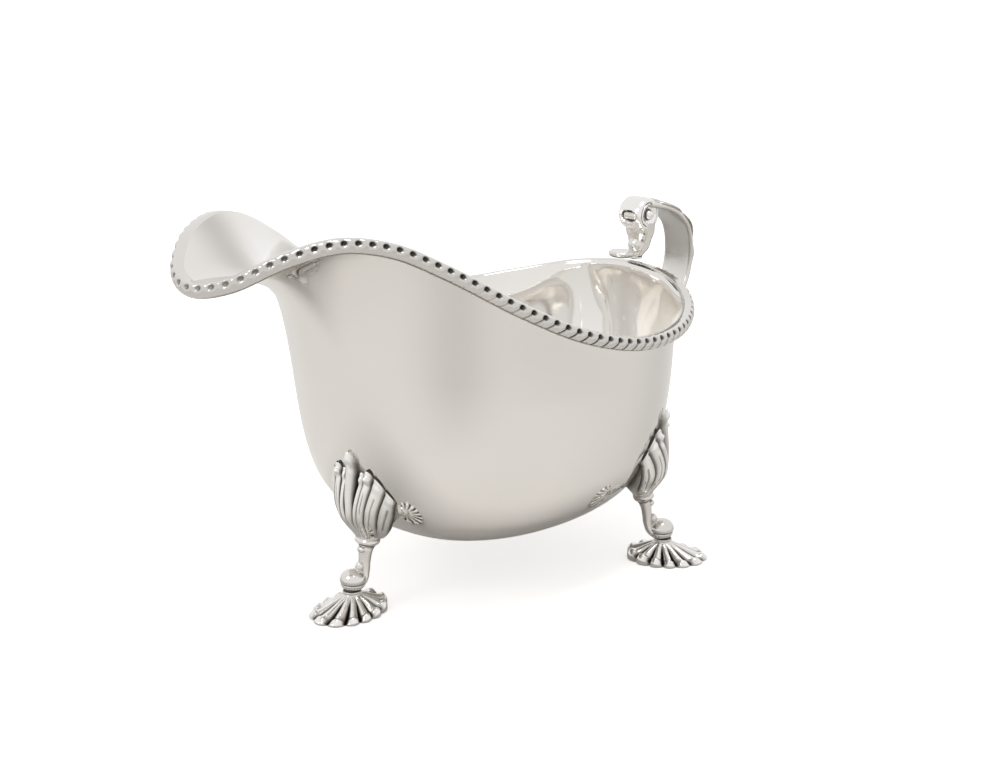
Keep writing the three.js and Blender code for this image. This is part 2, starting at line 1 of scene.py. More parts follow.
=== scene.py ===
"""Silver sauce boat on three shell feet, dressed for the render.

Shapes are written in millimetres in the part's own axes (+Z up, spout along -X) with x
measured from the middle of the rim, and are turned into metres when a piece is made.

Each point of a mesh carries two marks for the silver: how much oxide and painted shade darken
it, in hollows and in shaded places, and how far painted highlights, painted reflections and
rubbed ridges (1) or painted shade (-1) make it lighter or darker than the rest.
"""

import math

import bmesh
import bpy
import numpy as np
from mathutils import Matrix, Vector


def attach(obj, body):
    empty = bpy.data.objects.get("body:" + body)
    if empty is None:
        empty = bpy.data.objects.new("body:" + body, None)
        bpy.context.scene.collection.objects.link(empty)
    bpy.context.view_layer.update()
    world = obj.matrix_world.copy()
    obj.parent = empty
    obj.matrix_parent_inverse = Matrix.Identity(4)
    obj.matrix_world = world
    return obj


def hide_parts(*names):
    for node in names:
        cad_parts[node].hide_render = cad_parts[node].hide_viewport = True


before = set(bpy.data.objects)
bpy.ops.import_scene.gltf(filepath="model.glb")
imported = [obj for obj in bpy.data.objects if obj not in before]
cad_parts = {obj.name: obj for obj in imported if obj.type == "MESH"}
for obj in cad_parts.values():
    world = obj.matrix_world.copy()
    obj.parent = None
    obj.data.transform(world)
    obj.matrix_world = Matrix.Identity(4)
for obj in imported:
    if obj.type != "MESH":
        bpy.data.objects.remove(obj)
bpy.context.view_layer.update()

MM = 0.001

# The part's middle, with the handle, lies this far behind the middle of its rim.
MIDDLE_OF_LENGTH = 11.3

# Camera of the photograph, in millimetres and pixels.
CAMERA_AT = (-337.2, -330.8, 185.9)
CAMERA_LOOK = (0.698, 0.662, -0.273)
FOCAL_PIXELS = 1824
IMAGE_WIDTH = 1000
SENSOR_WIDTH = 36
CAMERA_NEAREST = 0.01

# Studio, in metres and watts. The floor glows for the eye, and for reflections between two
# distances from the sauce boat.
WORLD = {"colour": (0.93, 0.95, 1), "strength": 0.55}
FLOOR = {"half_size": 3.0, "colour": (0.87, 0.843, 0.8), "roughness": 0.9, "eye_glow": 0.6,
         "far": (0.4, 1.4), "far_glow": 0.5}
LAMPS = [("overhead", (-0.1, -0.1, 1.0), 0.5, 4.6), ("left_side", (-0.95, 0.15, 0.75), 0.4, 1.4)]
LAMP_AIM = (0, 0, 0.05)

# The two silvers. The grain is the scale and the strength of a fine relief. Each also sets
# how dark oxide and painted shade may make its hollows and shaded places.
SILVERS = {
    "raised_silver": {"colour": (0.81, 0.785, 0.75), "worn": (0.74, 0.715, 0.68),
                      "roughness": (0.045, 0.085), "tarnish_and_shade": 0.6, "grain": (30, 0.07)},
    "cast_silver": {"colour": (0.75, 0.73, 0.70), "worn": (0.66, 0.64, 0.61),
                    "roughness": (0.07, 0.13), "tarnish_and_shade": 0.95, "grain": (240, 0.1)},
}

# What both share. Noises are a scale and a detail, and ranges say where a change starts and
# where it is whole.
# Colours the marks blend towards: a painted highlight and reflection, also on rubbed ridges;
# painted shade, also by tarnished seams; and dark oxide with painted shade in hollows.
HIGHLIGHT_AND_WEAR = (0.89, 0.88, 0.865)
SHADE_AND_TARNISH = (0.56, 0.535, 0.505)
OXIDE_AND_SHADE = (0.03, 0.026, 0.022)
OXIDE_AND_SHADE_RANGE = (0.2, 0.95)
GLOSS_NOISE, GLOSS_RANGE = (28, 6), (0.3, 0.7)
CLOUD_NOISE, CLOUD_RANGE = (13, 2), (0.35, 0.65)
CREVICE_ROUGHNESS = 0.45
RIDGE = {"gain": 1.7, "less": 0.95, "most": 0.75}
GRAIN_DEPTH = 0.0006
GRAIN_DETAIL = 3

# Stand-in for the light that a ray would still find after its last mirror bounce: the glossy
# depths between which it comes up, its strength and its colour.
DEEP_BOUNCES, DEEP_STRENGTH, DEEP_COLOUR = (3.4, 3.6), 0.62, (0.95, 0.93, 0.9, 1)

# Rim, one side: x, half width, height of the outer top edge, from the spout tip to the back.
RIM_STATIONS = [
    (-80, 0, 95), (-77, 10, 97), (-67.5, 19, 102.5), (-55.5, 25, 105), (-42.5, 29.5, 102.5),
    (-29.5, 34, 96), (-10.5, 41, 84.5), (7, 45.5, 76), (27.5, 46.5, 70.5), (49, 42, 69.5),
    (66, 32, 71.5), (76.5, 18, 74.5), (80, 0, 76),
]
SAMPLES_PER_STATION = 200

# Bowl: an egg-shaped belly outline, and a meridian in two cubic curves that meet there. Pairs
# hold the value away from the spout and the value in it. The edge lies under the border.
BOWL = {
    "wall": 1.0,
    "centre_x": 17,
    "bottom_z": 14.5,
    "belly_z": 57.5,
    "front_length": 54,
    "back_length": 61,
    "half_width": 44,
    "front_power": 2.2,
    "back_power": 1.95,
    "bottom_fullness": 0.8,
    "side_fullness": 0.85,
    "lean": (0.05, 0.3),
    "rim_slope": (57, 0),
    "wall_reach": (0.75, 0.9),
    "lip_reach": (0.8, 0.7),
    "spout_narrowness": 20,
    "edge_lap": 0.2,
    "edge_drop": 0.3,
    "around": 336,
    "lower_steps": 30,
    "upper_steps": 30,
}

# Bands of painted shade on the bowl's outside: degrees about its axis from the back, their
# width, the strength, and the heights between which the band comes up.
PAINTED_SHADE_BANDS = [(144, 9, 0.6, (45, 65)), (55, 16, 0.5, (10, 30))]

# A painted reflection lightens the inside between two depths under the rim, and painted shade
# darkens the spout's throat.
PAINTED_REFLECTION_DEPTHS = (2, 22)
THROAT = {"x": -58, "length": 7, "heights": (80, 90)}

# Gadroon border: a smooth band with a pit at each lobe's outer top corner, and a thin line
# that slants down from the pit towards the spout. Their widths are shares of a lobe, and both
# fade in along x; oxide and painted shade darken them. The seam under the border, painted shade
# where it meets the bowl, is a height, a width and a darkness. The carved side gets painted shade.
BORDER = {
    "lobes": 116,
    "steps_per_lobe": 20,
    "around": 44,
    "width": 2.3,
    "height": 3.7,
    "slant": 0.9,
    "carved_out": (-0.7, -0.1),
    "carved_up": (0, -0.8),
    "pit_depth": 1.1,
    "pit_drop": 0.2,
    "pit_width": 0.265,
    "pit_height": 0.68,
    "pit_up": -0.85,
    "pit_from": (-90, -60),
    "pit_least": 0.4,
    "pit_shade": (2.6, 0.5),
    "pit_least_shade": 0.5,
    "line_depth": 0.5,
    "line_width": 0.12,
    "line_from": (-35, 5),
    "line_least": 0.12,
    "swell": 0.14,
    "seam": (-3.45, 0.18, 0.8),
    "seam_within": 0.1,
    "side_painted_shade": 0.7,
}

# Cross-section of the border: how far out and how far up.
BORDER_SECTION = [
    (-2.7, -3.0), (-2.7, -1.0), (-2.55, -0.25), (-2.25, 0.0), (-1.2, 0.06), (-0.4, 0.0),
    (0.12, -0.15), (0.45, -0.5), (0.62, -1.1), (0.62, -1.8), (0.5, -2.5), (0.2, -3.1),
    (-0.4, -3.5), (-1.3, -3.7), (-2.0, -3.75), (-2.5, -3.6),
]

# Legs: the place of each foot and the way its leg faces, in degrees about +Z.
LEGS = [
    ("front", -34, 0, 180),
    ("rear_left", 53.5, -35.3, -52),
    ("rear_right", 53.5, 35.3, 52),
]

# A leg meets the bowl's wall between these places out from the foot's middle.
WALL_SEARCH = (-30.0, 6.0)

# Knee shell: flutes that fan up from the collar, the middle one tallest. Pairs are shares of
# the height, where something starts and is whole.
KNEE = {
    "steps_per_flute": 16,
    "rows": 64,
    "row_power": 0.9,
    "front_samples": 400,
    "bottom_z": 18.9,
    "bottom_half_width": 3.1,
    "spread": 0.62,
    "flute_depth": 0.65,
    "flatness": 4,
    "crease": 0.3,
    # Top edge: how its seams drop below the tips, evenly only in the outer petals.
    "crown": 0.3,
    "notch": 0.7,
    "even_beyond": 5,
    "end_drop": 0.9,
    # Clefts beside the middle petal.
    "cleft_at": 2,
    "cleft_depth": 1.7,
    "cleft_width": 0.42,
    "cleft_rise": (0.3, 0.7),
    # How far the face stands off the bowl. It bends to the tips over its upper part.
    "edge_stand": 1.5,
    "least_stand": 1.3,
    "least_depth": 0.05,
    "tip_stand": 1.0,
    "tip_bend": (0.5, 1),
    "edge_out": -6.3,
    "edge_out_z": 28.5,
    "edge_slope": 0.25,
    # Back of the shell: narrower below, let into the wall, raised behind the outer tips.
    "undercut": 0.45,
    "bottom_back": -9.5,
    "back_slope": 0.66,
    "backing": 0.5,
    "back_rise": 2.4,
    "back_rises": (0.6, 1),
    "back_within": 7,
    "back_least": 0.3,
    # Painted shade on the back in the gap behind the shell, oxide and painted shade in the seams,
    # and how fast these and the painted highlight on rubbed ridges grow with the rise.
    "back_shade": 0.6,
    "seam_shade": (2.6, 0.35),
    "shade_gain": 3,
    "light_and_wear_gain": 2,
}

# Flutes of one half of the knee, from the middle out: outer edge across, height of the tip,
# and how far its lip swells.
FLUTES = [(2, 43, 0.8), (4.2, 37.6, 0.5), (7, 38.3, 1.0), (9.8, 35.8, 0.3), (11.8, 32.4, 0.15)]

# Swell of a flute's lip and the hollow under it: share of the height, width, and amount.
LIP_SWELL = [(0.95, 0.045, 0.95), (0.86, 0.04, -0.3)]
LIP_POWER = 0.7

# Lines engraved in the knee's side petals: place across, first and last share of the height.
KNEE_LINES = [(5.6, 0.4, 0.8), (8.4, 0.25, 0.86), (10.9, 0.2, 0.84)]
ENGRAVING = {"slant": 0.5, "width": 0.2, "fade": 0.08, "depth": 0.25, "shade": 0.75}

# Front line of the knee shell, out from the middle of the foot against height.
KNEE_FRONT = [
    (-4.6, 18.9), (-3.8, 20.5), (-1.4, 23.8), (-0.3, 26.3), (0.0, 31.5), (0.1, 36),
    (0.4, 40.5), (0.4, 43),
]

# Lip of the knee shell, from its face to its back: share of the way to the back, rise along
# the top edge, and bulge past the side edge.
KNEE_LIP = [
    (0.05, 0.4, 0.25), (0.13, 0.7, 0.35), (0.22, 0.7, 0.3), (0.3, 0.4, 0.15),
    (0.38, 0.0, 0.0), (0.5, -0.1, 0.0), (0.75, 0.0, 0.0),
]
# The last three set the painted shade on the lip's top: how far across it grows, its least share,
# and its share of the seams' darkness.
LIP = {"on_top": (0.8, 1), "side_share": (0.05, 0.9), "bulge_above": 0.12, "seam_flat": 0.65,
       "dark_within": 5, "dark_least": 0.3, "dark_seam": 0.8}

# Painted shade across the lip, on top deepest in the gap by the bowl, both its edges included:
# on the top, and as a share of the seams' darkness at the sides.
LIP_DARK_TOP = [0.0, 0.0, 0.0, 0.05, 0.3, 0.8, 1.0, 1.0, 1.0]
LIP_DARK_SIDE = [1.0, 0.6, 0.3, 0.2, 0.3, 0.4, 0.55, 0.8, 1.0]

# Shank from the collar down to the toe of its curl: out, height, half depth, half width.
SHANK_LINE = [
    (-6.7, 19.2, 2.3, 2.9), (-6.8, 18.8, 2.8, 3.5), (-6.9, 18.45, 3.0, 3.75),
    (-6.9, 18.1, 2.8, 3.5), (-6.7, 17.5, 2.2, 2.7), (-6.4, 16.5, 1.75, 2.2),
    (-6.2, 15.9, 1.7, 2.1), (-6.0, 14.8, 1.5, 1.95), (-5.7, 12.6, 1.4, 1.75),
    (-5.4, 10.4, 1.35, 1.8), (-4.6, 8.3, 1.3, 2), (-2.8, 6.9, 1.2, 2.1), (-1.2, 6.6, 1.0, 2),
]

# The rings of the collar lie level and turn with the shank between two shares of its length.
SHANK = {"steps": 90, "sides": 40, "turns": (0.1, 0.2)}

# Dark seams of a leg, oxide and painted shade in its grooves: height, width, darkness.
COLLAR_SEAM = (17.0, 0.35, 0.8)
KNOB_SEAM = (8.04, 0.16, 0.9)
NECK_SEAM = (6.2, 0.25, 1.0)

# Small balls of the leg, before and above the ankle: out, height, half sizes out, across, up.
BUDS = [(-4.7, 16.3, 0.95, 1.3, 0.9), (-3.9, 11.6, 0.9, 1.2, 1.5), (-2.9, 10.6, 1.0, 1.5, 1.1)]
BUD_RINGS, BUD_SIDES = 20, 28

# Ankle knob, turned about an upright line: its place out, and radius against height.
KNOB_OUT = -1.6
KNOB_STEPS = 90
KNOB_LINE = [
    (0.05, 11.5), (1.2, 11.4), (2.3, 10.95), (3.0, 10.15), (3.35, 9.2), (3.35, 8.6),
    (3.2, 8.25), (2.95, 8.1), (2.95, 7.98), (3.15, 7.85), (3.15, 7.5), (2.9, 7.0), (2.4, 6.5),
    (1.9, 6.2), (1.6, 6.0), (0.05, 5.9),
]

# Neck between the ankle scroll and the foot: height and radius.
NECK_STEPS = 30
NECK_LINE = [
    (4.4, 3.0), (5.0, 2.5), (5.35, 2.3), (5.6, 2.45), (5.9, 2.45), (6.15, 2.2), (6.5, 1.6),
]

# Foot: an oval shell with lobes that swell at a share of the way out.
FOOT = {
    "lobes": 13,
    "steps_per_lobe": 18,
    "rings": 60,
    "half_length": 11.4,
    "half_width": 8.7,
    "inner_focus": 2,
    "neck_radius": 2.3,
    "neck_out": -1.2,
    "groove_depth": 1.45,
    "crease": 0.55,
    "bulb": (0.86, 0.08, 0.45),
    "sole": 0.05,
    # Oxide and painted shade in the grooves, and a painted highlight on the rubbed lobes, each
    # growing with the grooves' depth.
    "seam_shade": (2.4, 0.3),
    "shade_gain": 1.3,
    "light_and_wear_gain": 2,
}

# Foot from the neck out: share of the way, height away from the bowl and towards it, and
# how deep its grooves are cut.
FOOT_PROFILE = [
    (0, 5.2, 5.2, 0), (0.06, 4.9, 5.05, 0.1), (0.12, 4.55, 4.9, 0.25), (0.2, 4.15, 4.7, 0.4),
    (0.3, 3.7, 4.4, 0.65), (0.4, 3.25, 4.1, 0.85), (0.5, 2.8, 3.8, 1), (0.6, 2.4, 3.5, 1.1),
    (0.7, 2.0, 3.3, 1.15), (0.78, 1.75, 3.2, 1.2), (0.86, 1.55, 3.05, 1.15), (0.92, 1.35, 2.8, 1),
    (0.96, 1.15, 2.45, 0.8), (0.99, 0.9, 1.9, 0.55), (1, 0.6, 1.3, 0.35), (0.99, 0.3, 0.6, 0.2),
    (0.97, 0.1, 0.15, 0.05), (0.93, 0, 0, 0),
]

# Middle line of the strap in the plane of symmetry, from the volute round to the wall.
STRAP_LINE = [
    (81.4, 92.7), (84.9, 91.9), (89.5, 90.7), (94.5, 88.4), (98.5, 84.9), (100.3, 81),
    (100.8, 77.2), (100.6, 73.2), (99.5, 69.2), (97.4, 65), (93.6, 59.2), (88.2, 53.3),
    (81.8, 48.1), (76, 45.1), (71, 43.8),
]

# Strap: it tapers towards its tail, ends inside the bowl's wall, and has painted shade on the
# side of the finger gap, less so towards the tail.
STRAP = {
    "half_width": 4.9,
    "tail_half_width": 3.4,
    "taper_from": 0.55,
    "thickness": 1.7,
    "ends_at_x": 72,
    "samples": 2000,
    "steps": 180,
    "around": 72,
    "inner_side": (-0.1, -0.5),
    "inner_share": (0.6, 0.35),
    "inner_shade": 0.48,
}

# Cross-section of the strap, in half thicknesses out and half widths across.
STRAP_SECTION = [
    (-0.5, -1.03), (0.0, -1.05), (0.5, -1.02), (0.8, -0.93), (0.98, -0.78), (1.05, -0.5),
    (1.1, -0.2), (1.1, 0.2), (1.05, 0.5), (0.98, 0.78), (0.8, 0.93), (0.5, 1.02), (0.0, 1.05),
    (-0.5, 1.03), (-0.9, 0.97), (-1.0, 0.9), (-0.9, 0.8), (-0.78, 0.62), (-0.7, 0.4),
    (-0.66, 0.18), (-0.65, 0.0), (-0.66, -0.18), (-0.7, -0.4), (-0.78, -0.62), (-0.9, -0.8),
    (-1.0, -0.9), (-0.9, -0.97),
]

# The volute's last value is a painted highlight over all of it.
VOLUTE = {"x": 81.4, "z": 89.6, "half_width": 4.1, "sides": 96, "face_steps": 110, "painted_light_and_wear": 0.7}

# Side face of the volute, a boss in a dished ring: radius, and width past the drum's edge.
# Its two dark seams, oxide and painted shade in its grooves: radius, width, darkness.
VOLUTE_FACE = [
    (0, 0.9), (0.6, 0.85), (1.1, 0.6), (1.4, 0.15), (1.55, -0.45), (1.8, -0.65), (2.2, -0.45),
    (2.7, -0.05), (3.1, 0.1), (3.35, -0.05), (3.5, -0.4), (3.65, -0.1), (3.95, 0.0), (4.3, -0.2),
    (4.6, -0.65), (4.8, -1.25), (4.92, -2.1), (4.95, -3.1), (4.95, -4.0),
]
VOLUTE_SEAMS = [(1.58, 0.2, 1.0), (3.5, 0.13, 0.9)]

# Oval pocket in the drum of the volute, darkened with painted shade, its wall and lip as
# shares of the oval, and the bead in it.
POCKET = {"z": 89.4, "half_width": 3.3, "half_height": 1.75, "depth": 1.7, "wall": (1, 0.7),
          "lip": (1.12, 0.12, 0.22), "lip_before": 3, "beyond_radius": 4}
BEAD = {"at": (77.9, -0.3, 89.4), "half_width": 2.5, "radius": 1.15, "edge": 0.9}
TURNED_SIDES = 48

LEAF = {
    "start": 0.07,
    "end": 0.6,
    "steps": 200,
    "around": 90,
    "lobes": 4,
    "lobe_depth": 0.24,
    "lobe_power": 0.6,
    "half_width": 5.5,
    "tip_power": 3,
    "tip_width": 0.14,
    "tip_height": 0.6,
    "clearance": 0.05,
    "upper_side": (0, 0.25),
    # The rib's seam and the veins are darkened with oxide and painted shade; the ridges between
    # the veins carry a painted highlight with wear.
    "rib_half_width": 0.15,
    "rib_seam": (0.2, 0.05, 0.8),
    "vein_count": 18,
    "vein_fan": 1.6,
    "vein_depth": 0.16,
    "vein_power": 0.6,
    "vein_shade": 1.2,
}

# Cross-section of the leaf, its top being alike on both sides of the rib: share of its half
# width, and height over its underside.
LEAF_TOP = [
    (-1.0, -0.15), (-1.02, 0.05), (-0.98, 0.22), (-0.88, 0.38), (-0.75, 0.52), (-0.6, 0.6),
    (-0.45, 0.58), (-0.32, 0.48), (-0.22, 0.4), (-0.14, 0.5), (-0.08, 0.85),
]
LEAF_SECTION = (LEAF_TOP + [(0.0, 1.0)] + [(-across, high) for across, high in LEAF_TOP[::-1]]
                + [(0.6, -0.1), (0.0, -0.05), (-0.6, -0.1)])

# Post from the volute down to the rim: x, height, half depth, half width.
COLUMN_LINE = [
    (82.1, 87, 2.9, 4.6), (82.15, 85.4, 2.9, 4.6), (82.2, 84, 2.8, 4.4), (82.2, 82.6, 2.6, 3.8),
    (82.1, 81.4, 2.5, 3.4), (81.9, 80.4, 2.5, 3.2), (81.6, 79.4, 2.5, 2.9),
    (81.2, 78.5, 2.3, 2.5), (80.8, 77.8, 1.9, 2.1), (80.5, 77.2, 1.6, 1.9), (80.3, 76.5, 1.7, 2.0),
]
# The post's seam, with oxide and painted shade, is a height and a width.
COLUMN = {"steps": 60, "sides": 48, "squareness": 2.6, "seam": (77.25, 0.25)}

# Eyes of the small scrolls on the post, darkened with oxide and painted shade: across and
# height. Its belly and the small ball at its foot: x, across, height, radius.
POST_EYES = [(-3.3, 84.1), (3.3, 83.4), (-2.6, 82.1)]
POST_EYE_RADIUS = 0.4
POST_BALLS = [(80.7, 0, 80.5, 2.5), (79.1, -0.8, 77.3, 0.9)]

# Tongue from the post over the rim to the thumb plate: x, height, half thickness. The powers
# square its cross-section, across and up.
TONGUE_LINE = [(81.0, 78.3, 1.1), (79.6, 78.0, 0.8), (78.0, 78.1, 0.6), (76.4, 78.5, 0.55),
               (74.2, 78.9, 0.5)]
TONGUE = {"half_width": 1.9, "steps": 24, "sides": 32, "powers": (0.4, 0.6)}
# The thumb plate is darkened with painted shade on its underside.
PLATE = {"x": 73.8, "z": 78.9, "half_length": 3.4, "half_width": 3.9, "shade": 1.6}

# Edge of the thumb plate, from its underside to its top: share of its size, height.
PLATE_EDGE = [(0.02, -0.9), (0.5, -0.92), (0.8, -0.85), (0.92, -0.6), (0.98, -0.25), (1.0, 0.1),
              (0.99, 0.4), (0.93, 0.65), (0.86, 0.72), (0.78, 0.6), (0.6, 0.55), (0.02, 0.55)]

# Rings that close the end of a tube, as shares of its size, from the middle out.
CAP_RINGS = (0.01, 0.5, 0.85)
WELD_DISTANCE = 0.02


# Curves and small helpers

def mix(a, b, share):
    return a + (b - a) * share


def ramp(value, start, end):
    """0 before the start, 1 past the end, and even in between. It may run downward."""
    return np.clip((value - start) / (end - start), 0, 1)


def hump(value, middle, width, height=1.0):
    """The height at the middle, fading out to both sides."""
    return height * np.exp(-((value - middle) / width) ** 2)


def shade(value, gain, less=0.0):
    """A mark that grows with the value, from 0 to 1."""
    return np.clip(gain * value - less, 0, 1)


def ridge(height):
    """Rubbed ridges with a painted highlight (1) and painted shade towards the seams of a fluted
    surface.
    """
    return np.clip(RIDGE["gain"] * height - RIDGE["less"], -1, RIDGE["most"])


def turns(count):
    """Angles once round."""
    return np.linspace(0, 2 * math.pi, count, endpoint=False)


def signed_power(value, power):
    return np.sign(value) * np.abs(value) ** power


def unit(vectors):
    return vectors / np.linalg.norm(vectors, axis=-1, keepdims=True)


def points_of(*coordinates):
    """Points from coordinates of any shapes that fit each other."""
    return np.stack(np.broadcast_arrays(*coordinates), axis=-1)


def turning_point(low, high, holds, halvings):
    """Where a test that holds at the low end of each range stops holding."""
    for _ in range(halvings):
        middle = (low + high) / 2
        held = holds(middle)
        low, high = np.where(held, middle, low), np.where(held, high, middle)
    return low


def run_along(line):
    """Length of a line up to each of its points."""
    return np.append(0, np.cumsum(np.linalg.norm(np.diff(line, axis=0), axis=1)))


def by_length(line):
    """Resamples a line to equal steps of length, keeping its count of points."""
    run = run_along(line)
    even = np.linspace(0, run[-1], len(line))
    return np.stack([np.interp(even, run, line[:, c]) for c in range(line.shape[1])], axis=1)


def spline(points, samples):
    """A smooth line through the points, evenly sampled in its own parameter."""
    p = np.asarray(points, float)
    last = len(p) - 1
    before = np.vstack([2 * p[0] - p[1], p, 2 * p[last] - p[last - 1]])
    t = np.linspace(0, last, samples)
    k = np.minimum(t.astype(int), last - 1)
    f = (t - k)[:, None]
    a, b, c, d = before[k], before[k + 1], before[k + 2], before[k + 3]
    return 0.5 * (2 * b + (c - a) * f + (2 * a - 5 * b + 4 * c - d) * f ** 2
                  + (3 * b - a - 3 * c + d) * f ** 3)


def closed_section(points, count):
    """A smooth closed line through the points, in equal steps of length."""
    return by_length(spline(points + points[:1], count))[:-1]


def closed_rim():
    """The rim's outer top edge as a dense closed line with its share of the whole length, by
    the centripetal curve, which makes no loops where stations crowd."""
    near = [(x, -half, z) for x, half, z in RIM_STATIONS]
    far = [(x, half, z) for x, half, z in RIM_STATIONS[1:-1][::-1]]
    p = np.array(near + far, float)
    count = len(p)
    f = np.linspace(0, 1, SAMPLES_PER_STATION, endpoint=False)[:, None]
    pieces = []
    for k in range(count):
        a, b, c, d = (p[(k + shift) % count] for shift in (-1, 0, 1, 2))
        t0, t1, t2 = (np.sqrt(np.linalg.norm(v)) for v in (b - a, c - b, d - c))
        slope_b = ((b - a) / t0 - (c - a) / (t0 + t1) + (c - b) / t1) * t1
        slope_c = ((c - b) / t1 - (d - b) / (t1 + t2) + (d - c) / t2) * t1
        pieces.append(b + slope_b * f + (3 * (c - b) - 2 * slope_b - slope_c) * f ** 2
                      + (slope_b + slope_c - 2 * (c - b)) * f ** 3)
    line = np.vstack(pieces + [p[:1]])
    run = run_along(line)
    return line, run / run[-1]


RIM_LINE, RIM_RUN = closed_rim()


def rim_at(share):
    place = np.mod(share, 1)
    return np.stack([np.interp(place, RIM_RUN, RIM_LINE[:, c]) for c in range(3)], axis=-1)


def rim_frame(share):
    """Points on the rim's outer top edge with their own directions out and up."""
    step = 0.001
    along = unit(rim_at(share + step) - rim_at(share - step))
    up = unit(np.array([0.0, 0.0, 1.0]) - along[..., 2:] * along)
    return rim_at(share), np.cross(along, up), up


# Shape of the bowl

BOWL_TURNS = np.arange(BOWL["around"]) / BOWL["around"]


def spout_share(angle):
    return ((1 - np.cos(angle)) / 2) ** BOWL["spout_narrowness"]


def belly_radius(angle):
    """Distance from the bowl's axis to its belly outline, an egg in plan."""
    front = np.cos(angle) < 0
    length = np.where(front, BOWL["front_length"], BOWL["back_length"])
    power = np.where(front, BOWL["front_power"], BOWL["back_power"])
    lengthwise = np.abs(np.cos(angle) / length) ** power
    crosswise = np.abs(np.sin(angle) / BOWL["half_width"]) ** power
    return (lengthwise + crosswise) ** (-1 / power)


def lower_controls(angle):
    """Cubic curve from the bottom to the belly, as radius and height, for each angle."""
    radius = belly_radius(angle)
    lean = mix(*BOWL["lean"], spout_share(angle))
    side = (BOWL["belly_z"] - BOWL["bottom_z"]) * BOWL["side_fullness"]
    return [
        points_of(0 * radius, BOWL["bottom_z"]),
        points_of(radius * BOWL["bottom_fullness"], BOWL["bottom_z"]),
        points_of(radius - lean * side, BOWL["belly_z"] - side),
        points_of(radius, BOWL["belly_z"]),
    ]


def upper_controls(angle, rim_radius, rim_z):
    """Cubic curve from the belly to the rim, which it meets along the slope of the lip."""
    share = spout_share(angle)
    lean = mix(*BOWL["lean"], share)
    slope = np.radians(mix(*BOWL["rim_slope"], share))
    start = points_of(belly_radius(angle), BOWL["belly_z"])
    end = points_of(rim_radius, rim_z - BOWL["wall"] * np.cos(slope))
    lip = points_of(np.cos(slope), np.sin(slope))
    overhang = end[:, 0] - start[:, 0] - lean * (end[:, 1] - start[:, 1])
    reach = np.maximum(1, overhang / (lip[:, 0] - lean * lip[:, 1]))
    corner = end - lip * reach[:, None]
    wall_reach = mix(*BOWL["wall_reach"], share)[:, None]
    lip_reach = mix(*BOWL["lip_reach"], share)[:, None]
    return [start, mix(start, corner, wall_reach), mix(end, corner, lip_reach), end]


def cubic(controls, t):
    a, b, c, d = controls
    return a * (1 - t) ** 3 + 3 * b * t * (1 - t) ** 2 + 3 * c * t ** 2 * (1 - t) + d * t ** 3


def bezier(controls, t):
    """Points and directions of cubic curves, with one set of controls for each angle."""
    controls = a, b, c, d = [control[:, None, :] for control in controls]
    t = t[None, :, None]
    slope = (b - a) * (1 - t) ** 2 + 2 * (c - b) * t * (1 - t) + (d - c) * t ** 2
    return cubic(controls, t), unit(slope)


def bowl_grid(distance):
    """Rows of the bowl's face from the bottom up, moved outward by the given distance."""
    at, out, _ = rim_frame(BOWL_TURNS)
    x, y, rim_z = (at - out * (BORDER["width"] - BOWL["edge_lap"])).T
    x = x - BOWL["centre_x"]
    angle = np.arctan2(y, x)
    rim = upper_controls(angle, np.hypot(x, y), rim_z - BOWL["edge_drop"])
    low, low_slope = bezier(lower_controls(angle), np.linspace(0, 1, BOWL["lower_steps"] + 1))
    high, high_slope = bezier(rim, np.linspace(0, 1, BOWL["upper_steps"] + 1)[1:])
    point = np.concatenate([low, high], axis=1)
    slope = np.concatenate([low_slope, high_slope], axis=1)
    radius = point[..., 0] + distance * slope[..., 1]
    z = point[..., 1] - distance * slope[..., 0]
    grid = points_of(BOWL["centre_x"] + radius * np.cos(angle)[:, None],
                     radius * np.sin(angle)[:, None], z)
    return grid.transpose(1, 0, 2)


def wall_radius(angle, z):
    """Distance from the bowl's axis to its outer face at a height below the belly."""
    controls = lower_controls(np.ravel(angle))
    height = np.ravel(z)

    def below(t):
        return cubic(controls, t[:, None])[:, 1] < height

    t = turning_point(np.zeros(height.size), np.ones(height.size), below, halvings=22)
    return cubic(controls, t[:, None])[:, 0].reshape(np.shape(angle))


# Meshes

def put(name, data):
    """Puts a new object with this data in the scene."""
    made = bpy.data.objects.new(name, data)
    bpy.context.scene.collection.objects.link(made)
    return made


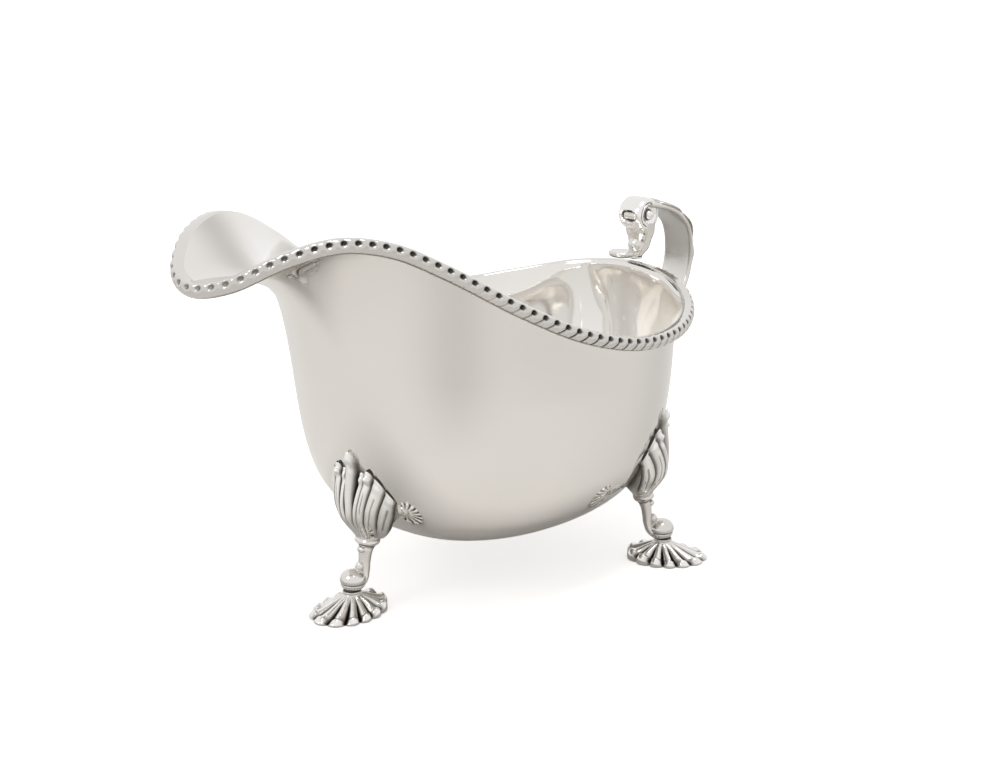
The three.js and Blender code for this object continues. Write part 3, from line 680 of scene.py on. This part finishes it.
class Faces:
    """Collects the points and faces of one mesh, with the two marks of each point."""

    def __init__(self):
        self.points = []
        self.faces = []
        self.oxide_and_painted_shade = []
        self.painted_light_and_wear = []
        self.count = 0

    def grid(self, rows, oxide_and_painted_shade=0.0, painted_light_and_wear=0.0, wrap_rows=False, wrap_columns=True):
        """Adds quads over rows of points. Each way can close on itself."""
        shape = rows.shape[:2]
        number = self.count + np.arange(shape[0] * shape[1]).reshape(shape)
        self.count += number.size
        if wrap_rows:
            number = np.vstack([number, number[:1]])
        if wrap_columns:
            number = np.hstack([number, number[:, :1]])
        quads = np.stack([number[:-1, :-1], number[:-1, 1:], number[1:, 1:], number[1:, :-1]],
                         axis=-1)
        self.points.append(rows.reshape(-1, 3))
        self.faces.append(quads.reshape(-1, 4))
        self.oxide_and_painted_shade.append(np.broadcast_to(oxide_and_painted_shade, shape).ravel())
        self.painted_light_and_wear.append(np.broadcast_to(painted_light_and_wear, shape).ravel())

    def capped(self, rows, oxide_and_painted_shade=0.0, painted_light_and_wear=0.0):
        """Adds a tube of rings, each end closed by rings that shrink to its middle."""
        near = [mix(rows[0].mean(axis=0), rows[0], share) for share in CAP_RINGS]
        far = [mix(rows[-1].mean(axis=0), rows[-1], share) for share in CAP_RINGS[::-1]]
        ends = (len(near), len(far))
        marks = [np.pad(np.broadcast_to(mark, rows.shape[:2]), (ends, (0, 0)), "edge")
                 for mark in (oxide_and_painted_shade, painted_light_and_wear)]
        self.grid(np.concatenate([near, rows, far]), *marks)

    def piece(self, name, node, slot="cast_silver", sharp=50):
        """Makes the object that takes the place of one node of the part."""
        points = np.concatenate(self.points)
        points[:, 0] -= MIDDLE_OF_LENGTH
        mesh = bpy.data.meshes.new(name)
        mesh.from_pydata((points * MM).tolist(), [], np.concatenate(self.faces).tolist())
        for mark, values in (("oxide_and_painted_shade", self.oxide_and_painted_shade), ("painted_light_and_wear", self.painted_light_and_wear)):
            layer = mesh.attributes.new(mark, "FLOAT", "POINT")
            layer.data.foreach_set("value", np.concatenate(values).astype(np.float32))
        mesh.materials.append(MATERIALS[slot])
        mesh.update()
        made = put(name, mesh)
        turn_outward(mesh)
        mesh.shade_smooth()
        mesh.set_sharp_from_angle(angle=math.radians(sharp))
        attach(made, "root")
        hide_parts(node)
        return made


def turn_outward(mesh, weld=0.0):
    """Turns every face outward, after points closer than the given distance are joined."""
    body = bmesh.new()
    body.from_mesh(mesh)
    if weld:
        bmesh.ops.remove_doubles(body, verts=body.verts, dist=weld)
    bmesh.ops.recalc_face_normals(body, faces=body.faces)
    body.to_mesh(mesh)
    body.free()


# Materials

def feed(tree, node, inputs):
    """Gives inputs of a node a value or the output of another node."""
    for key, value in inputs.items():
        if isinstance(value, bpy.types.NodeSocket):
            tree.links.new(value, node.inputs[key])
        else:
            node.inputs[key].default_value = value


def add(tree, kind, inputs=None, **settings):
    """Adds a node, with its settings and its inputs."""
    node = tree.nodes.new("ShaderNode" + kind)
    for key, value in settings.items():
        setattr(node, key, value)
    feed(tree, node, inputs or {})
    return node


def noise(tree, scale, detail):
    """A noise over the piece's own coordinates."""
    place = add(tree, "TexCoord").outputs["Object"]
    made = add(tree, "TexNoise", {"Vector": place, "Scale": scale, "Detail": detail})
    return made.outputs["Fac"]


def ranged(tree, value, source, target):
    """The value, mapped from one range to another."""
    made = add(tree, "MapRange", {
        "Value": value,
        "From Min": source[0],
        "From Max": source[1],
        "To Min": target[0],
        "To Max": target[1],
    })
    return made.outputs["Result"]


def blend(tree, factor, below, above):
    """A colour between two others. The first may be the output of another blend."""
    below = (*below, 1) if isinstance(below, tuple) else below
    made = add(tree, "Mix", {"Factor": factor, "A": below, "B": (*above, 1)}, data_type="RGBA")
    return made.outputs["Result"]


def silver(name, colour, worn, roughness, tarnish_and_shade, grain):
    """Polished silver: cloudy patches, soft wear in the gloss, painted light and shade, and dark
    oxide in crevices.
    """
    material = bpy.data.materials.new(name)
    material.use_nodes = True
    tree = material.node_tree
    oxide_and_painted_shade, painted_light_and_wear = (add(tree, "Attribute", attribute_name=mark).outputs["Fac"]
                       for mark in ("oxide_and_painted_shade", "painted_light_and_wear"))

    gloss = ranged(tree, noise(tree, *GLOSS_NOISE), GLOSS_RANGE, roughness)
    dulled = add(tree, "Math", {0: oxide_and_painted_shade, 1: CREVICE_ROUGHNESS, 2: gloss},
                 operation="MULTIPLY_ADD")

    clouds = ranged(tree, noise(tree, *CLOUD_NOISE), CLOUD_RANGE, (0, 1))
    tint = blend(tree, clouds, colour, worn)
    # Painted highlight and wear lighten it, painted shade darkens it, and oxide with painted shade
    # darkens its hollows most.
    tint = blend(tree, ranged(tree, painted_light_and_wear, (0, 1), (0, 1)), tint, HIGHLIGHT_AND_WEAR)
    tint = blend(tree, ranged(tree, painted_light_and_wear, (0, -1), (0, 1)), tint, SHADE_AND_TARNISH)
    tint = blend(tree, ranged(tree, oxide_and_painted_shade, OXIDE_AND_SHADE_RANGE, (0, tarnish_and_shade)), tint, OXIDE_AND_SHADE)

    scale, strength = grain
    relief = add(tree, "Bump", {"Height": noise(tree, scale, GRAIN_DETAIL),
                                "Strength": strength, "Distance": GRAIN_DEPTH})
    bounces = add(tree, "LightPath").outputs["Glossy Depth"]
    feed(tree, tree.nodes["Principled BSDF"], {
        "Metallic": 1.0,
        "Base Color": tint,
        "Roughness": dulled.outputs[0],
        "Normal": relief.outputs["Normal"],
        "Emission Color": DEEP_COLOUR,
        "Emission Strength": ranged(tree, bounces, DEEP_BOUNCES, (0, DEEP_STRENGTH)),
    })
    return material


MATERIALS = {name: silver(name, **looks) for name, looks in SILVERS.items()}


# Bowl and border

def make_bowl():
    outside = bowl_grid(0)
    inside = bowl_grid(-BOWL["wall"])[::-1]
    rim_z = rim_at(BOWL_TURNS)[:, 2]
    # Painted reflection and throat shade inside, bands of painted shade outside.
    bright = ramp(rim_z - inside[..., 2], *PAINTED_REFLECTION_DEPTHS)
    throat = hump(inside[..., 0], THROAT["x"], THROAT["length"])
    throat = throat * ramp(inside[..., 2], *THROAT["heights"])
    turn = np.degrees(np.arctan2(np.abs(outside[..., 1]), outside[..., 0] - BOWL["centre_x"]))
    dim = sum(hump(turn, *band) * ramp(outside[..., 2], *heights)
              for *band, heights in PAINTED_SHADE_BANDS)
    faces = Faces()
    faces.grid(np.concatenate([outside, inside]), painted_light_and_wear=np.concatenate([-dim, bright - throat]))
    faces.piece("bowl_raised", "bowl", "raised_silver", sharp=60)


def make_border():
    """Endless band with a row of pits at its outer top corner and slanted lines below them."""
    lobe = np.arange(BORDER["lobes"] * BORDER["steps_per_lobe"])[:, None]
    lobe = lobe / BORDER["steps_per_lobe"]
    out, up = closed_section(BORDER_SECTION, BORDER["around"]).T[:, None, :]
    slant = BORDER["slant"] / BORDER["height"]
    at, outward, upward = rim_frame((lobe + slant * up) / BORDER["lobes"])
    away = lobe - np.round(lobe)
    outer = ramp(out, *BORDER["carved_out"])

    over = up - BORDER["pit_up"]
    sunk = ramp(at[..., 0], *BORDER["pit_from"])
    mouth = hump(away + slant * over, 0, BORDER["pit_width"])
    mouth = mouth * hump(over, 0, BORDER["pit_height"]) * outer
    pit = mouth * mix(BORDER["pit_least"], 1, sunk)

    side = outer * ramp(up, *BORDER["carved_up"])
    shown = side * np.maximum(ramp(at[..., 0], *BORDER["line_from"]), BORDER["line_least"])
    line = shown * hump(away, 0, BORDER["line_width"])
    swell = shown * BORDER["swell"] * (1 - (2 * away) ** 2)

    out_by = out - BORDER["pit_depth"] * pit - BORDER["line_depth"] * line + swell
    up_by = up - BORDER["pit_drop"] * pit
    rings = at + outward * out_by[..., None] + upward * up_by[..., None]
    # Oxide and painted shade in the pits and lines, painted shade in the seam under the border and
    # on the carved side.
    pit_dark = shade(mouth, *BORDER["pit_shade"]) * mix(BORDER["pit_least_shade"], 1, sunk)
    seam = hump(up, *BORDER["seam"]) * (out < BORDER["seam_within"])
    faces = Faces()
    faces.grid(rings, np.maximum(np.maximum(pit_dark, line), seam), -BORDER["side_painted_shade"] * side,
               wrap_rows=True)
    faces.piece("gadroon_rope", "gadroon_border")


# Legs. Each leg has its own axes: out from the bowl, across, and up.

def leg_points(leg, out, across, z):
    _, x, y, facing = leg
    turn = math.radians(facing)
    return points_of(x + out * math.cos(turn) - across * math.sin(turn),
                     y + out * math.sin(turn) + across * math.cos(turn), z)


def wall_behind(leg, across, z):
    """Where the bowl's outer face lies behind a leg, measured out from the foot's middle."""
    across, z = np.broadcast_arrays(across, z)

    def in_the_bowl(out):
        point = leg_points(leg, out, across, z)
        x = point[..., 0] - BOWL["centre_x"]
        return np.hypot(x, point[..., 1]) < wall_radius(np.arctan2(point[..., 1], x), z)

    low, high = (np.full(z.shape, end) for end in WALL_SEARCH)
    return turning_point(low, high, in_the_bowl, halvings=18)


def knee_columns():
    """Over the knee's flutes: place across, height at the top, share of the flute's crown,
    and swell of its lip."""
    outer_edge, tip, lip = np.array(FLUTES).T
    edges = np.append(-outer_edge[::-1], outer_edge)
    tips = np.append(tip[:0:-1], tip)
    lips = np.append(lip[:0:-1], lip)
    before, after = np.append(tips[0], tips), np.append(tips, tips[-1])
    seams = np.where(np.abs(edges) > KNEE["even_beyond"], (before + after) / 2,
                     np.minimum(before, after)) - KNEE["notch"]
    seams[[0, -1]] -= KNEE["end_drop"]
    steps = KNEE["steps_per_flute"]
    place = np.arange(len(tips) * steps + 1) / steps
    flute = np.minimum(place.astype(int), len(tips) - 1)
    within = place - flute
    crown = np.sin(np.pi * within).clip(0)
    tall = tips[flute] - (seams[flute] + seams[flute + 1]) / 2
    top = mix(seams[flute], seams[flute + 1], within) + tall * crown ** KNEE["crown"]
    return mix(edges[flute], edges[flute + 1], within), top, crown, lips[flute]


def knee_cuts(across, rise):
    """The clefts beside the middle petal, and the lines engraved in the side petals."""
    cleft = hump(np.abs(across), KNEE["cleft_at"], KNEE["cleft_width"])
    cleft = cleft * ramp(rise, *KNEE["cleft_rise"])
    fade = ENGRAVING["fade"]
    engraved = 0 * cleft
    for place, first, last in KNEE_LINES:
        line = hump(np.abs(across), place + ENGRAVING["slant"] * (rise - 0.5), ENGRAVING["width"])
        line = line * ramp(rise, first, first + fade) * ramp(rise, last, last - fade)
        engraved = np.maximum(engraved, line)
    return cleft, engraved


def knee_shell(z, wall, across, rise):
    """How far out the knee's face lies before its flutes are cut."""
    line = by_length(spline(KNEE_FRONT, KNEE["front_samples"]))
    front = np.maximum(np.interp(z, line[:, 1], line[:, 0]), wall + KNEE["least_stand"])
    edge = KNEE["edge_out"] - KNEE["edge_slope"] * (KNEE["edge_out_z"] - z)
    side = np.abs(across / across[-1]) ** KNEE["flatness"]
    out = mix(front, np.maximum(wall + KNEE["edge_stand"], edge), side)
    bend = ramp(rise, *KNEE["tip_bend"]) ** 2
    return mix(out, np.minimum(out, wall + KNEE["tip_stand"]), bend)


def knee_back(leg, wide, z, across, rise):
    """Points of the shell's back, inside the bowl's wall or above the collar."""
    narrow = wide * mix(KNEE["undercut"], 1, rise)
    slope = KNEE["bottom_back"] - KNEE["back_slope"] * (z - KNEE["bottom_z"])
    aside = np.clip(np.abs(across) / KNEE["back_within"], KNEE["back_least"], 1)
    high = z + KNEE["back_rise"] * ramp(rise, *KNEE["back_rises"]) * aside
    out = np.maximum(wall_behind(leg, narrow, high) - KNEE["backing"], slope)
    return leg_points(leg, out, narrow, high)


def grid_edge(rows, columns):
    """Row and column numbers once round the edge of a grid."""
    loop = ([(0, i) for i in range(columns - 1)] + [(j, columns - 1) for j in range(rows - 1)]
            + [(rows - 1, i) for i in range(columns - 1, 0, -1)]
            + [(j, 0) for j in range(rows - 1, 0, -1)])
    return np.array(loop).T


def make_knee(leg):
    across, top, crown, swell = knee_columns()
    rise = np.linspace(0, 1, KNEE["rows"])[:, None] ** KNEE["row_power"]
    foot = across * KNEE["bottom_half_width"] / across[-1]
    wide = mix(foot, across, rise ** KNEE["spread"])
    z = mix(KNEE["bottom_z"], top, rise)
    wall = wall_behind(leg, wide, z)
    cleft, engraved = knee_cuts(across, rise)
    seam = 1 - crown ** KNEE["crease"]
    groove = (KNEE["flute_depth"] * seam * np.sqrt(rise) + KNEE["cleft_depth"] * cleft
              + ENGRAVING["depth"] * engraved)
    lip = sum(hump(rise, *part) for part in LIP_SWELL) * swell * crown ** LIP_POWER
    out = knee_shell(z, wall, across, rise) + lip - groove
    face = leg_points(leg, np.maximum(out, wall + KNEE["least_depth"]), wide, z)
    back = knee_back(leg, wide, z, across, rise)

    j, i = grid_edge(len(rise), len(across))
    rise_at, seam_at, across_at = rise[j, 0], seam[i], across[i]
    on_top = ramp(rise_at, *LIP["on_top"]) ** 2
    beside = (1 - on_top) * (rise_at > LIP["bulge_above"])
    sideways = leg_points(leg, 0, np.sign(across_at), 0) - leg_points(leg, 0, 0, 0)
    rings = [face[j, i]]
    for share, lift, bulge in KNEE_LIP:
        share = mix(LIP["side_share"][0] + LIP["side_share"][1] * share, share, on_top)
        ring = mix(face[j, i], back[j, i], share[:, None]) + sideways * (bulge * beside)[:, None]
        ring[:, 2] += lift * on_top * (1 - LIP["seam_flat"] * seam_at)
        rings.append(ring)
    rings.append(back[j, i])

    # Oxide and painted shade in the seams, clefts and engraved lines; painted shade in the gap
    # behind the lip and on the back; a painted highlight on the rubbed ridges.
    dark = shade(seam, *KNEE["seam_shade"]) * shade(rise, KNEE["shade_gain"])
    dark = np.maximum(dark, np.maximum(np.sqrt(cleft), ENGRAVING["shade"] * engraved))
    aside = np.clip(np.abs(across_at) / LIP["dark_within"], LIP["dark_least"], 1)
    top_dark = np.maximum(np.outer(LIP_DARK_TOP, aside), LIP["dark_seam"] * dark[j, i])
    lip_dark = mix(np.outer(LIP_DARK_SIDE, dark[j, i]), top_dark, on_top)
    faces = Faces()
    painted_light_and_wear = ridge(crown) * shade(rise, KNEE["light_and_wear_gain"])
    faces.grid(face, dark, painted_light_and_wear, wrap_columns=False)
    faces.grid(back, KNEE["back_shade"], wrap_columns=False)
    faces.grid(np.array(rings), lip_dark, ridge(crown[i]) * on_top)
    made = faces.piece(f"{leg[0]}_shell", f"{leg[0]}_knee_shell")
    turn_outward(made.data, weld=WELD_DISTANCE * MM)


def turned(leg, out, radius, z, sides):
    """Rings about an upright line at a place out in a leg's own axes."""
    turn = turns(sides)
    return leg_points(leg, out + radius * np.cos(turn), radius * np.sin(turn), z)


def bud(leg, out, z, half):
    """Rings of a rounded bud in a leg's own axes, nearly closed at its poles."""
    rise = np.linspace(-0.499, 0.499, BUD_RINGS)[:, None] * math.pi
    turn = turns(BUD_SIDES)
    return leg_points(leg, out + half[0] * np.cos(rise) * np.cos(turn),
                      half[1] * np.cos(rise) * np.sin(turn), z + half[2] * np.sin(rise))


def make_shank(leg):
    line = spline(SHANK_LINE, SHANK["steps"])
    out, z, half_depth, half_width = line.T[:, :, None]
    along = unit(np.gradient(line[:, :2], axis=0))
    normal = np.stack([-along[:, 1], along[:, 0]], axis=1)
    level = 1 - ramp(np.linspace(0, 1, SHANK["steps"])[:, None], *SHANK["turns"])
    normal = unit(mix(normal, np.array([1.0, 0.0]), level))
    turn = turns(SHANK["sides"])
    off = half_depth * np.cos(turn)
    rings = leg_points(leg, out + normal[:, :1] * off, half_width * np.sin(turn),
                       z + normal[:, 1:] * off)
    faces = Faces()
    faces.capped(rings, hump(z, *COLLAR_SEAM))
    for bud_out, bud_z, *half in BUDS:
        faces.grid(bud(leg, bud_out, bud_z, half))
    radius, z = by_length(spline(KNOB_LINE, KNOB_STEPS)).T[:, :, None]
    faces.grid(turned(leg, KNOB_OUT, radius, z, SHANK["sides"]), hump(z, *KNOB_SEAM))
    z, radius = spline(NECK_LINE, NECK_STEPS).T[:, :, None]
    faces.capped(turned(leg, FOOT["neck_out"], radius, z, SHANK["sides"]), hump(z, *NECK_SEAM))
    faces.piece(f"{leg[0]}_shank", f"{leg[0]}_leg")


def make_foot(leg):
    turn = turns(FOOT["lobes"] * FOOT["steps_per_lobe"])
    reach, z, inner_z, groove = spline(FOOT_PROFILE, FOOT["rings"]).T[:, :, None]
    groove = groove.clip(0)
    inner = ((1 - np.cos(turn)) / 2) ** FOOT["inner_focus"]
    bulb = np.abs(np.cos(turn * FOOT["lobes"] / 2))
    seam = 1 - bulb ** FOOT["crease"]
    cut = FOOT["groove_depth"] * seam
    full = 1 / np.hypot(np.cos(turn) / FOOT["half_length"], np.sin(turn) / FOOT["half_width"])
    radius = mix(FOOT["neck_radius"], full - cut, reach)
    out = mix(FOOT["neck_out"], 0, reach) + radius * np.cos(turn)
    height = mix(z, inner_z, inner) - cut * groove + bulb * hump(reach, *FOOT["bulb"])
    height = np.maximum(height * (z > FOOT["sole"]), 0)
    # Oxide and painted shade in the grooves, a painted highlight on the rubbed lobes.
    dark = shade(seam, *FOOT["seam_shade"]) * shade(groove, FOOT["shade_gain"])
    faces = Faces()
    faces.capped(leg_points(leg, out, radius * np.sin(turn), height), dark,
                 ridge(bulb) * shade(groove, FOOT["light_and_wear_gain"]))
    faces.piece(f"{leg[0]}_shell_foot", f"{leg[0]}_foot")


# Handle

STRAP_MIDDLE = by_length(spline(STRAP_LINE, STRAP["samples"]))


def strap_points(share, out, across):
    """Points at shares of the strap's middle line, moved out from the finger gap and across."""
    place = np.linspace(0, 1, len(STRAP_MIDDLE))
    along = unit(np.gradient(STRAP_MIDDLE, axis=0))
    x, z = (np.interp(share, place, STRAP_MIDDLE[:, c])[:, None] for c in range(2))
    along_x, along_z = (np.interp(share, place, along[:, c])[:, None] for c in range(2))
    return points_of(x - along_z * out, across, z + along_x * out)


def drum(profile, centre, sides):
    """Rings of a drum about its across axis, from one side's profile of radius, half width."""
    radius, across = np.vstack([profile * (1, -1), profile[::-1]]).T[:, :, None]
    radius = np.maximum(radius, CAP_RINGS[0])
    turn = turns(sides)
    return points_of(radius * np.cos(turn) + centre[0], across + centre[1],
                     radius * np.sin(turn) + centre[2])


def rounded(radius, half_width, edge, steps=8):
    """Profile of a drum with rounded edges, from its axis out."""
    turn = np.linspace(0, math.pi / 2, steps)
    corner = points_of(radius - edge + edge * np.sin(turn),
                       half_width - edge + edge * np.cos(turn))
    flat = [(share * (radius - edge), half_width) for share in (0, 0.5, 0.9)]
    return np.vstack([flat, corner])


def add_volute(faces):
    """Drum with a boss on each side and an oval pocket with a bead in its front; a painted
    highlight over it, painted shade in the pocket.
    """
    face = np.array(VOLUTE_FACE) + (0, VOLUTE["half_width"])
    face = by_length(spline(face, VOLUTE["face_steps"]))
    rings = drum(face, (VOLUTE["x"], 0, VOLUTE["z"]), VOLUTE["sides"])
    x, y, z = np.moveaxis(rings, -1, 0)
    radius = np.append(face[:, 0], face[::-1, 0])[:, None]
    seams = sum(hump(radius, *seam) for seam in VOLUTE_SEAMS)
    oval = np.hypot(y / POCKET["half_width"], (z - POCKET["z"]) / POCKET["half_height"])
    cut = radius > POCKET["beyond_radius"]
    sunk = ramp(oval, *POCKET["wall"]) * cut * (x < VOLUTE["x"])
    sunk = sunk * sunk * (3 - 2 * sunk)
    lip = hump(oval, *POCKET["lip"]) * cut * (x < VOLUTE["x"] - POCKET["lip_before"])
    faces.grid(points_of(x + POCKET["depth"] * sunk - lip, y, z), np.maximum(seams, sunk),
               VOLUTE["painted_light_and_wear"])
    bead = rounded(BEAD["radius"], BEAD["half_width"], BEAD["edge"])
    faces.grid(drum(bead, BEAD["at"], TURNED_SIDES))


def make_scroll():
    share = np.linspace(0, 1, STRAP["steps"])
    taper = ramp(share, STRAP["taper_from"], 1)[:, None]
    out, across = closed_section(STRAP_SECTION, STRAP["around"]).T
    rings = strap_points(share, out * STRAP["thickness"] / 2,
                         across * mix(STRAP["half_width"], STRAP["tail_half_width"], taper))
    # Painted shade on the side of the finger gap.
    inner = ramp(out, *STRAP["inner_side"]) * ramp(share, *STRAP["inner_share"])[:, None]
    keep = rings[:, :, 0].min(axis=1) > STRAP["ends_at_x"]
    faces = Faces()
    faces.capped(rings[keep], STRAP["inner_shade"] * inner[keep])
    add_volute(faces)
    faces.piece("scroll_casting", "handle_scroll")


def make_leaf():
    """Leaf with lobes down its sides, a rib, and veins that fan from it."""
    share = np.linspace(0, 1, LEAF["steps"])
    grown = share[:, None]
    lobe = np.abs(np.sin(grown * LEAF["lobes"] * math.pi)) ** LEAF["lobe_power"]
    taper = np.maximum(LEAF["tip_width"], np.sqrt(np.maximum(0, 1 - grown ** LEAF["tip_power"])))
    half = LEAF["half_width"] * taper * mix(1 - LEAF["lobe_depth"], 1, lobe)
    across, high = closed_section(LEAF_SECTION, LEAF["around"]).T
    aside = np.abs(across)
    fan = grown * LEAF["vein_count"] - aside * LEAF["vein_fan"]
    vein = np.abs(np.sin(fan * math.pi)) ** LEAF["vein_power"]
    top = ramp(high, *LEAF["upper_side"]) * (aside > LEAF["rib_half_width"])
    height = high * mix(1, LEAF["tip_height"], grown) - LEAF["vein_depth"] * (1 - vein) * top
    crown = max(out for out, _ in STRAP_SECTION) * STRAP["thickness"] / 2
    rings = strap_points(mix(LEAF["start"], LEAF["end"], share),
                         crown + LEAF["clearance"] + height, across * half)
    # Oxide and painted shade in the veins and by the rib, a painted highlight on the rubbed
    # ridges.
    dark = np.maximum(shade((1 - vein) * top, LEAF["vein_shade"]),
                      hump(aside, *LEAF["rib_seam"]) * top)
    faces = Faces()
    faces.capped(rings, dark, ridge(vein) * top)
    faces.piece("acanthus_leaf", "handle_leaf")


def make_column():
    """Post with the eyes of its scrolls, the tongue over the rim, and the thumb plate."""
    turn = turns(COLUMN["sides"])
    x, z, half_depth, half_width = spline(COLUMN_LINE, COLUMN["steps"]).T[:, :, None]
    power = COLUMN["squareness"]
    squared = (np.abs(np.cos(turn)) ** power + np.abs(np.sin(turn)) ** power) ** (-1 / power)
    forward = half_depth * np.cos(turn) * squared
    y = half_width * np.sin(turn) * squared
    eyes = sum(hump(np.hypot(y - eye_y, z - eye_z), 0, POST_EYE_RADIUS)
               for eye_y, eye_z in POST_EYES)
    # Oxide and painted shade in the eyes of the scrolls and at the seam.
    dark = eyes * (forward < 0) + hump(z, *COLUMN["seam"])
    faces = Faces()
    faces.capped(points_of(x + forward, y, z), np.clip(dark, 0, 1))

    x, z, half = spline(TONGUE_LINE, TONGUE["steps"]).T[:, :, None]
    corner = turns(TONGUE["sides"])
    across, thick = (signed_power(wave, power) for wave, power in
                     zip((np.cos(corner), np.sin(corner)), TONGUE["powers"]))
    faces.capped(points_of(x, TONGUE["half_width"] * across, z + half * thick))
    share, rise = np.array(PLATE_EDGE).T[:, :, None]
    plate = points_of(PLATE["x"] + PLATE["half_length"] * share * np.cos(turn),
                      PLATE["half_width"] * share * np.sin(turn), PLATE["z"] + rise)
    # Painted shade under the thumb plate.
    faces.grid(plate, shade(-rise, PLATE["shade"]))
    for *centre, radius in POST_BALLS:
        ball = rounded(radius, radius, radius - CAP_RINGS[0], steps=14)
        faces.grid(drum(ball, centre, TURNED_SIDES))
    faces.piece("column_casting", "handle_column")


make_bowl()
make_border()
for leg in LEGS:
    make_knee(leg)
    make_shank(leg)
    make_foot(leg)
make_scroll()
make_leaf()
make_column()


# Studio

def make_world():
    """Soft light on the sauce boat, and plain white for the eye and in reflections."""
    world = bpy.data.worlds.new("studio")
    bpy.context.scene.world = world
    world.use_nodes = True
    tree = world.node_tree
    base = tree.nodes["Background"]
    feed(tree, base, {"Color": (*WORLD["colour"], 1), "Strength": WORLD["strength"]})
    white = add(tree, "Background", {"Color": (1, 1, 1, 1), "Strength": 1.0})
    rays = add(tree, "LightPath").outputs
    seen = rays["Is Camera Ray"]
    for ray in ("Is Glossy Ray", "Is Transmission Ray"):
        seen = add(tree, "Math", {0: seen, 1: rays[ray]}, operation="MAXIMUM").outputs[0]
    mixed = add(tree, "MixShader", {"Fac": seen, 1: base.outputs[0], 2: white.outputs[0]})
    feed(tree, tree.nodes["World Output"], {"Surface": mixed.outputs[0]})


def make_floor():
    """Pale floor, lit up to white for the eye, and far off for the reflections in the metal."""
    half = FLOOR["half_size"]
    corners = [(-half, -half, 0), (half, -half, 0), (half, half, 0), (-half, half, 0)]
    mesh = bpy.data.meshes.new("floor")
    mesh.from_pydata(corners, [], [(0, 1, 2, 3)])
    floor = put("floor", mesh)
    material = bpy.data.materials.new("pale_floor")
    material.use_nodes = True
    tree = material.node_tree
    shader = tree.nodes["Principled BSDF"]
    feed(tree, shader, {"Base Color": (*FLOOR["colour"], 1), "Roughness": FLOOR["roughness"]})
    rays = add(tree, "LightPath").outputs
    to_eye = ranged(tree, rays["Is Camera Ray"], (0, 1), (0, FLOOR["eye_glow"]))
    place = add(tree, "TexCoord").outputs["Object"]
    distance = add(tree, "VectorMath", {0: place}, operation="LENGTH").outputs["Value"]
    far = ranged(tree, distance, FLOOR["far"], (0, FLOOR["far_glow"]))
    strength = add(tree, "Math", {0: far, 1: rays["Is Glossy Ray"], 2: to_eye},
                   operation="MULTIPLY_ADD")
    glow = add(tree, "Emission", {"Color": (1, 1, 1, 1), "Strength": strength.outputs[0]})
    both = add(tree, "AddShader", {0: shader.outputs[0], 1: glow.outputs[0]})
    feed(tree, tree.nodes["Material Output"], {"Surface": both.outputs[0]})
    mesh.materials.append(material)


def make_lamp(name, at, size, power):
    """A soft round lamp that faces the sauce boat."""
    light = bpy.data.lights.new(name, "AREA")
    light.shape = "DISK"
    light.size = size
    light.energy = power
    lamp = put(name, light)
    lamp.location = at
    aim = Vector(LAMP_AIM) - Vector(at)
    lamp.rotation_euler = aim.to_track_quat("-Z", "Y").to_euler()


def make_camera():
    camera = bpy.data.cameras.new("camera")
    camera.sensor_width = SENSOR_WIDTH
    camera.lens = FOCAL_PIXELS * SENSOR_WIDTH / IMAGE_WIDTH
    camera.clip_start = CAMERA_NEAREST
    holder = put("camera", camera)
    holder.location = Vector(CAMERA_AT) * MM
    holder.rotation_euler = Vector(CAMERA_LOOK).to_track_quat("-Z", "Y").to_euler()
    bpy.context.scene.camera = holder


make_camera()
make_world()
make_floor()
for lamp in LAMPS:
    make_lamp(*lamp)
bpy.context.scene.view_settings.view_transform = "Standard"
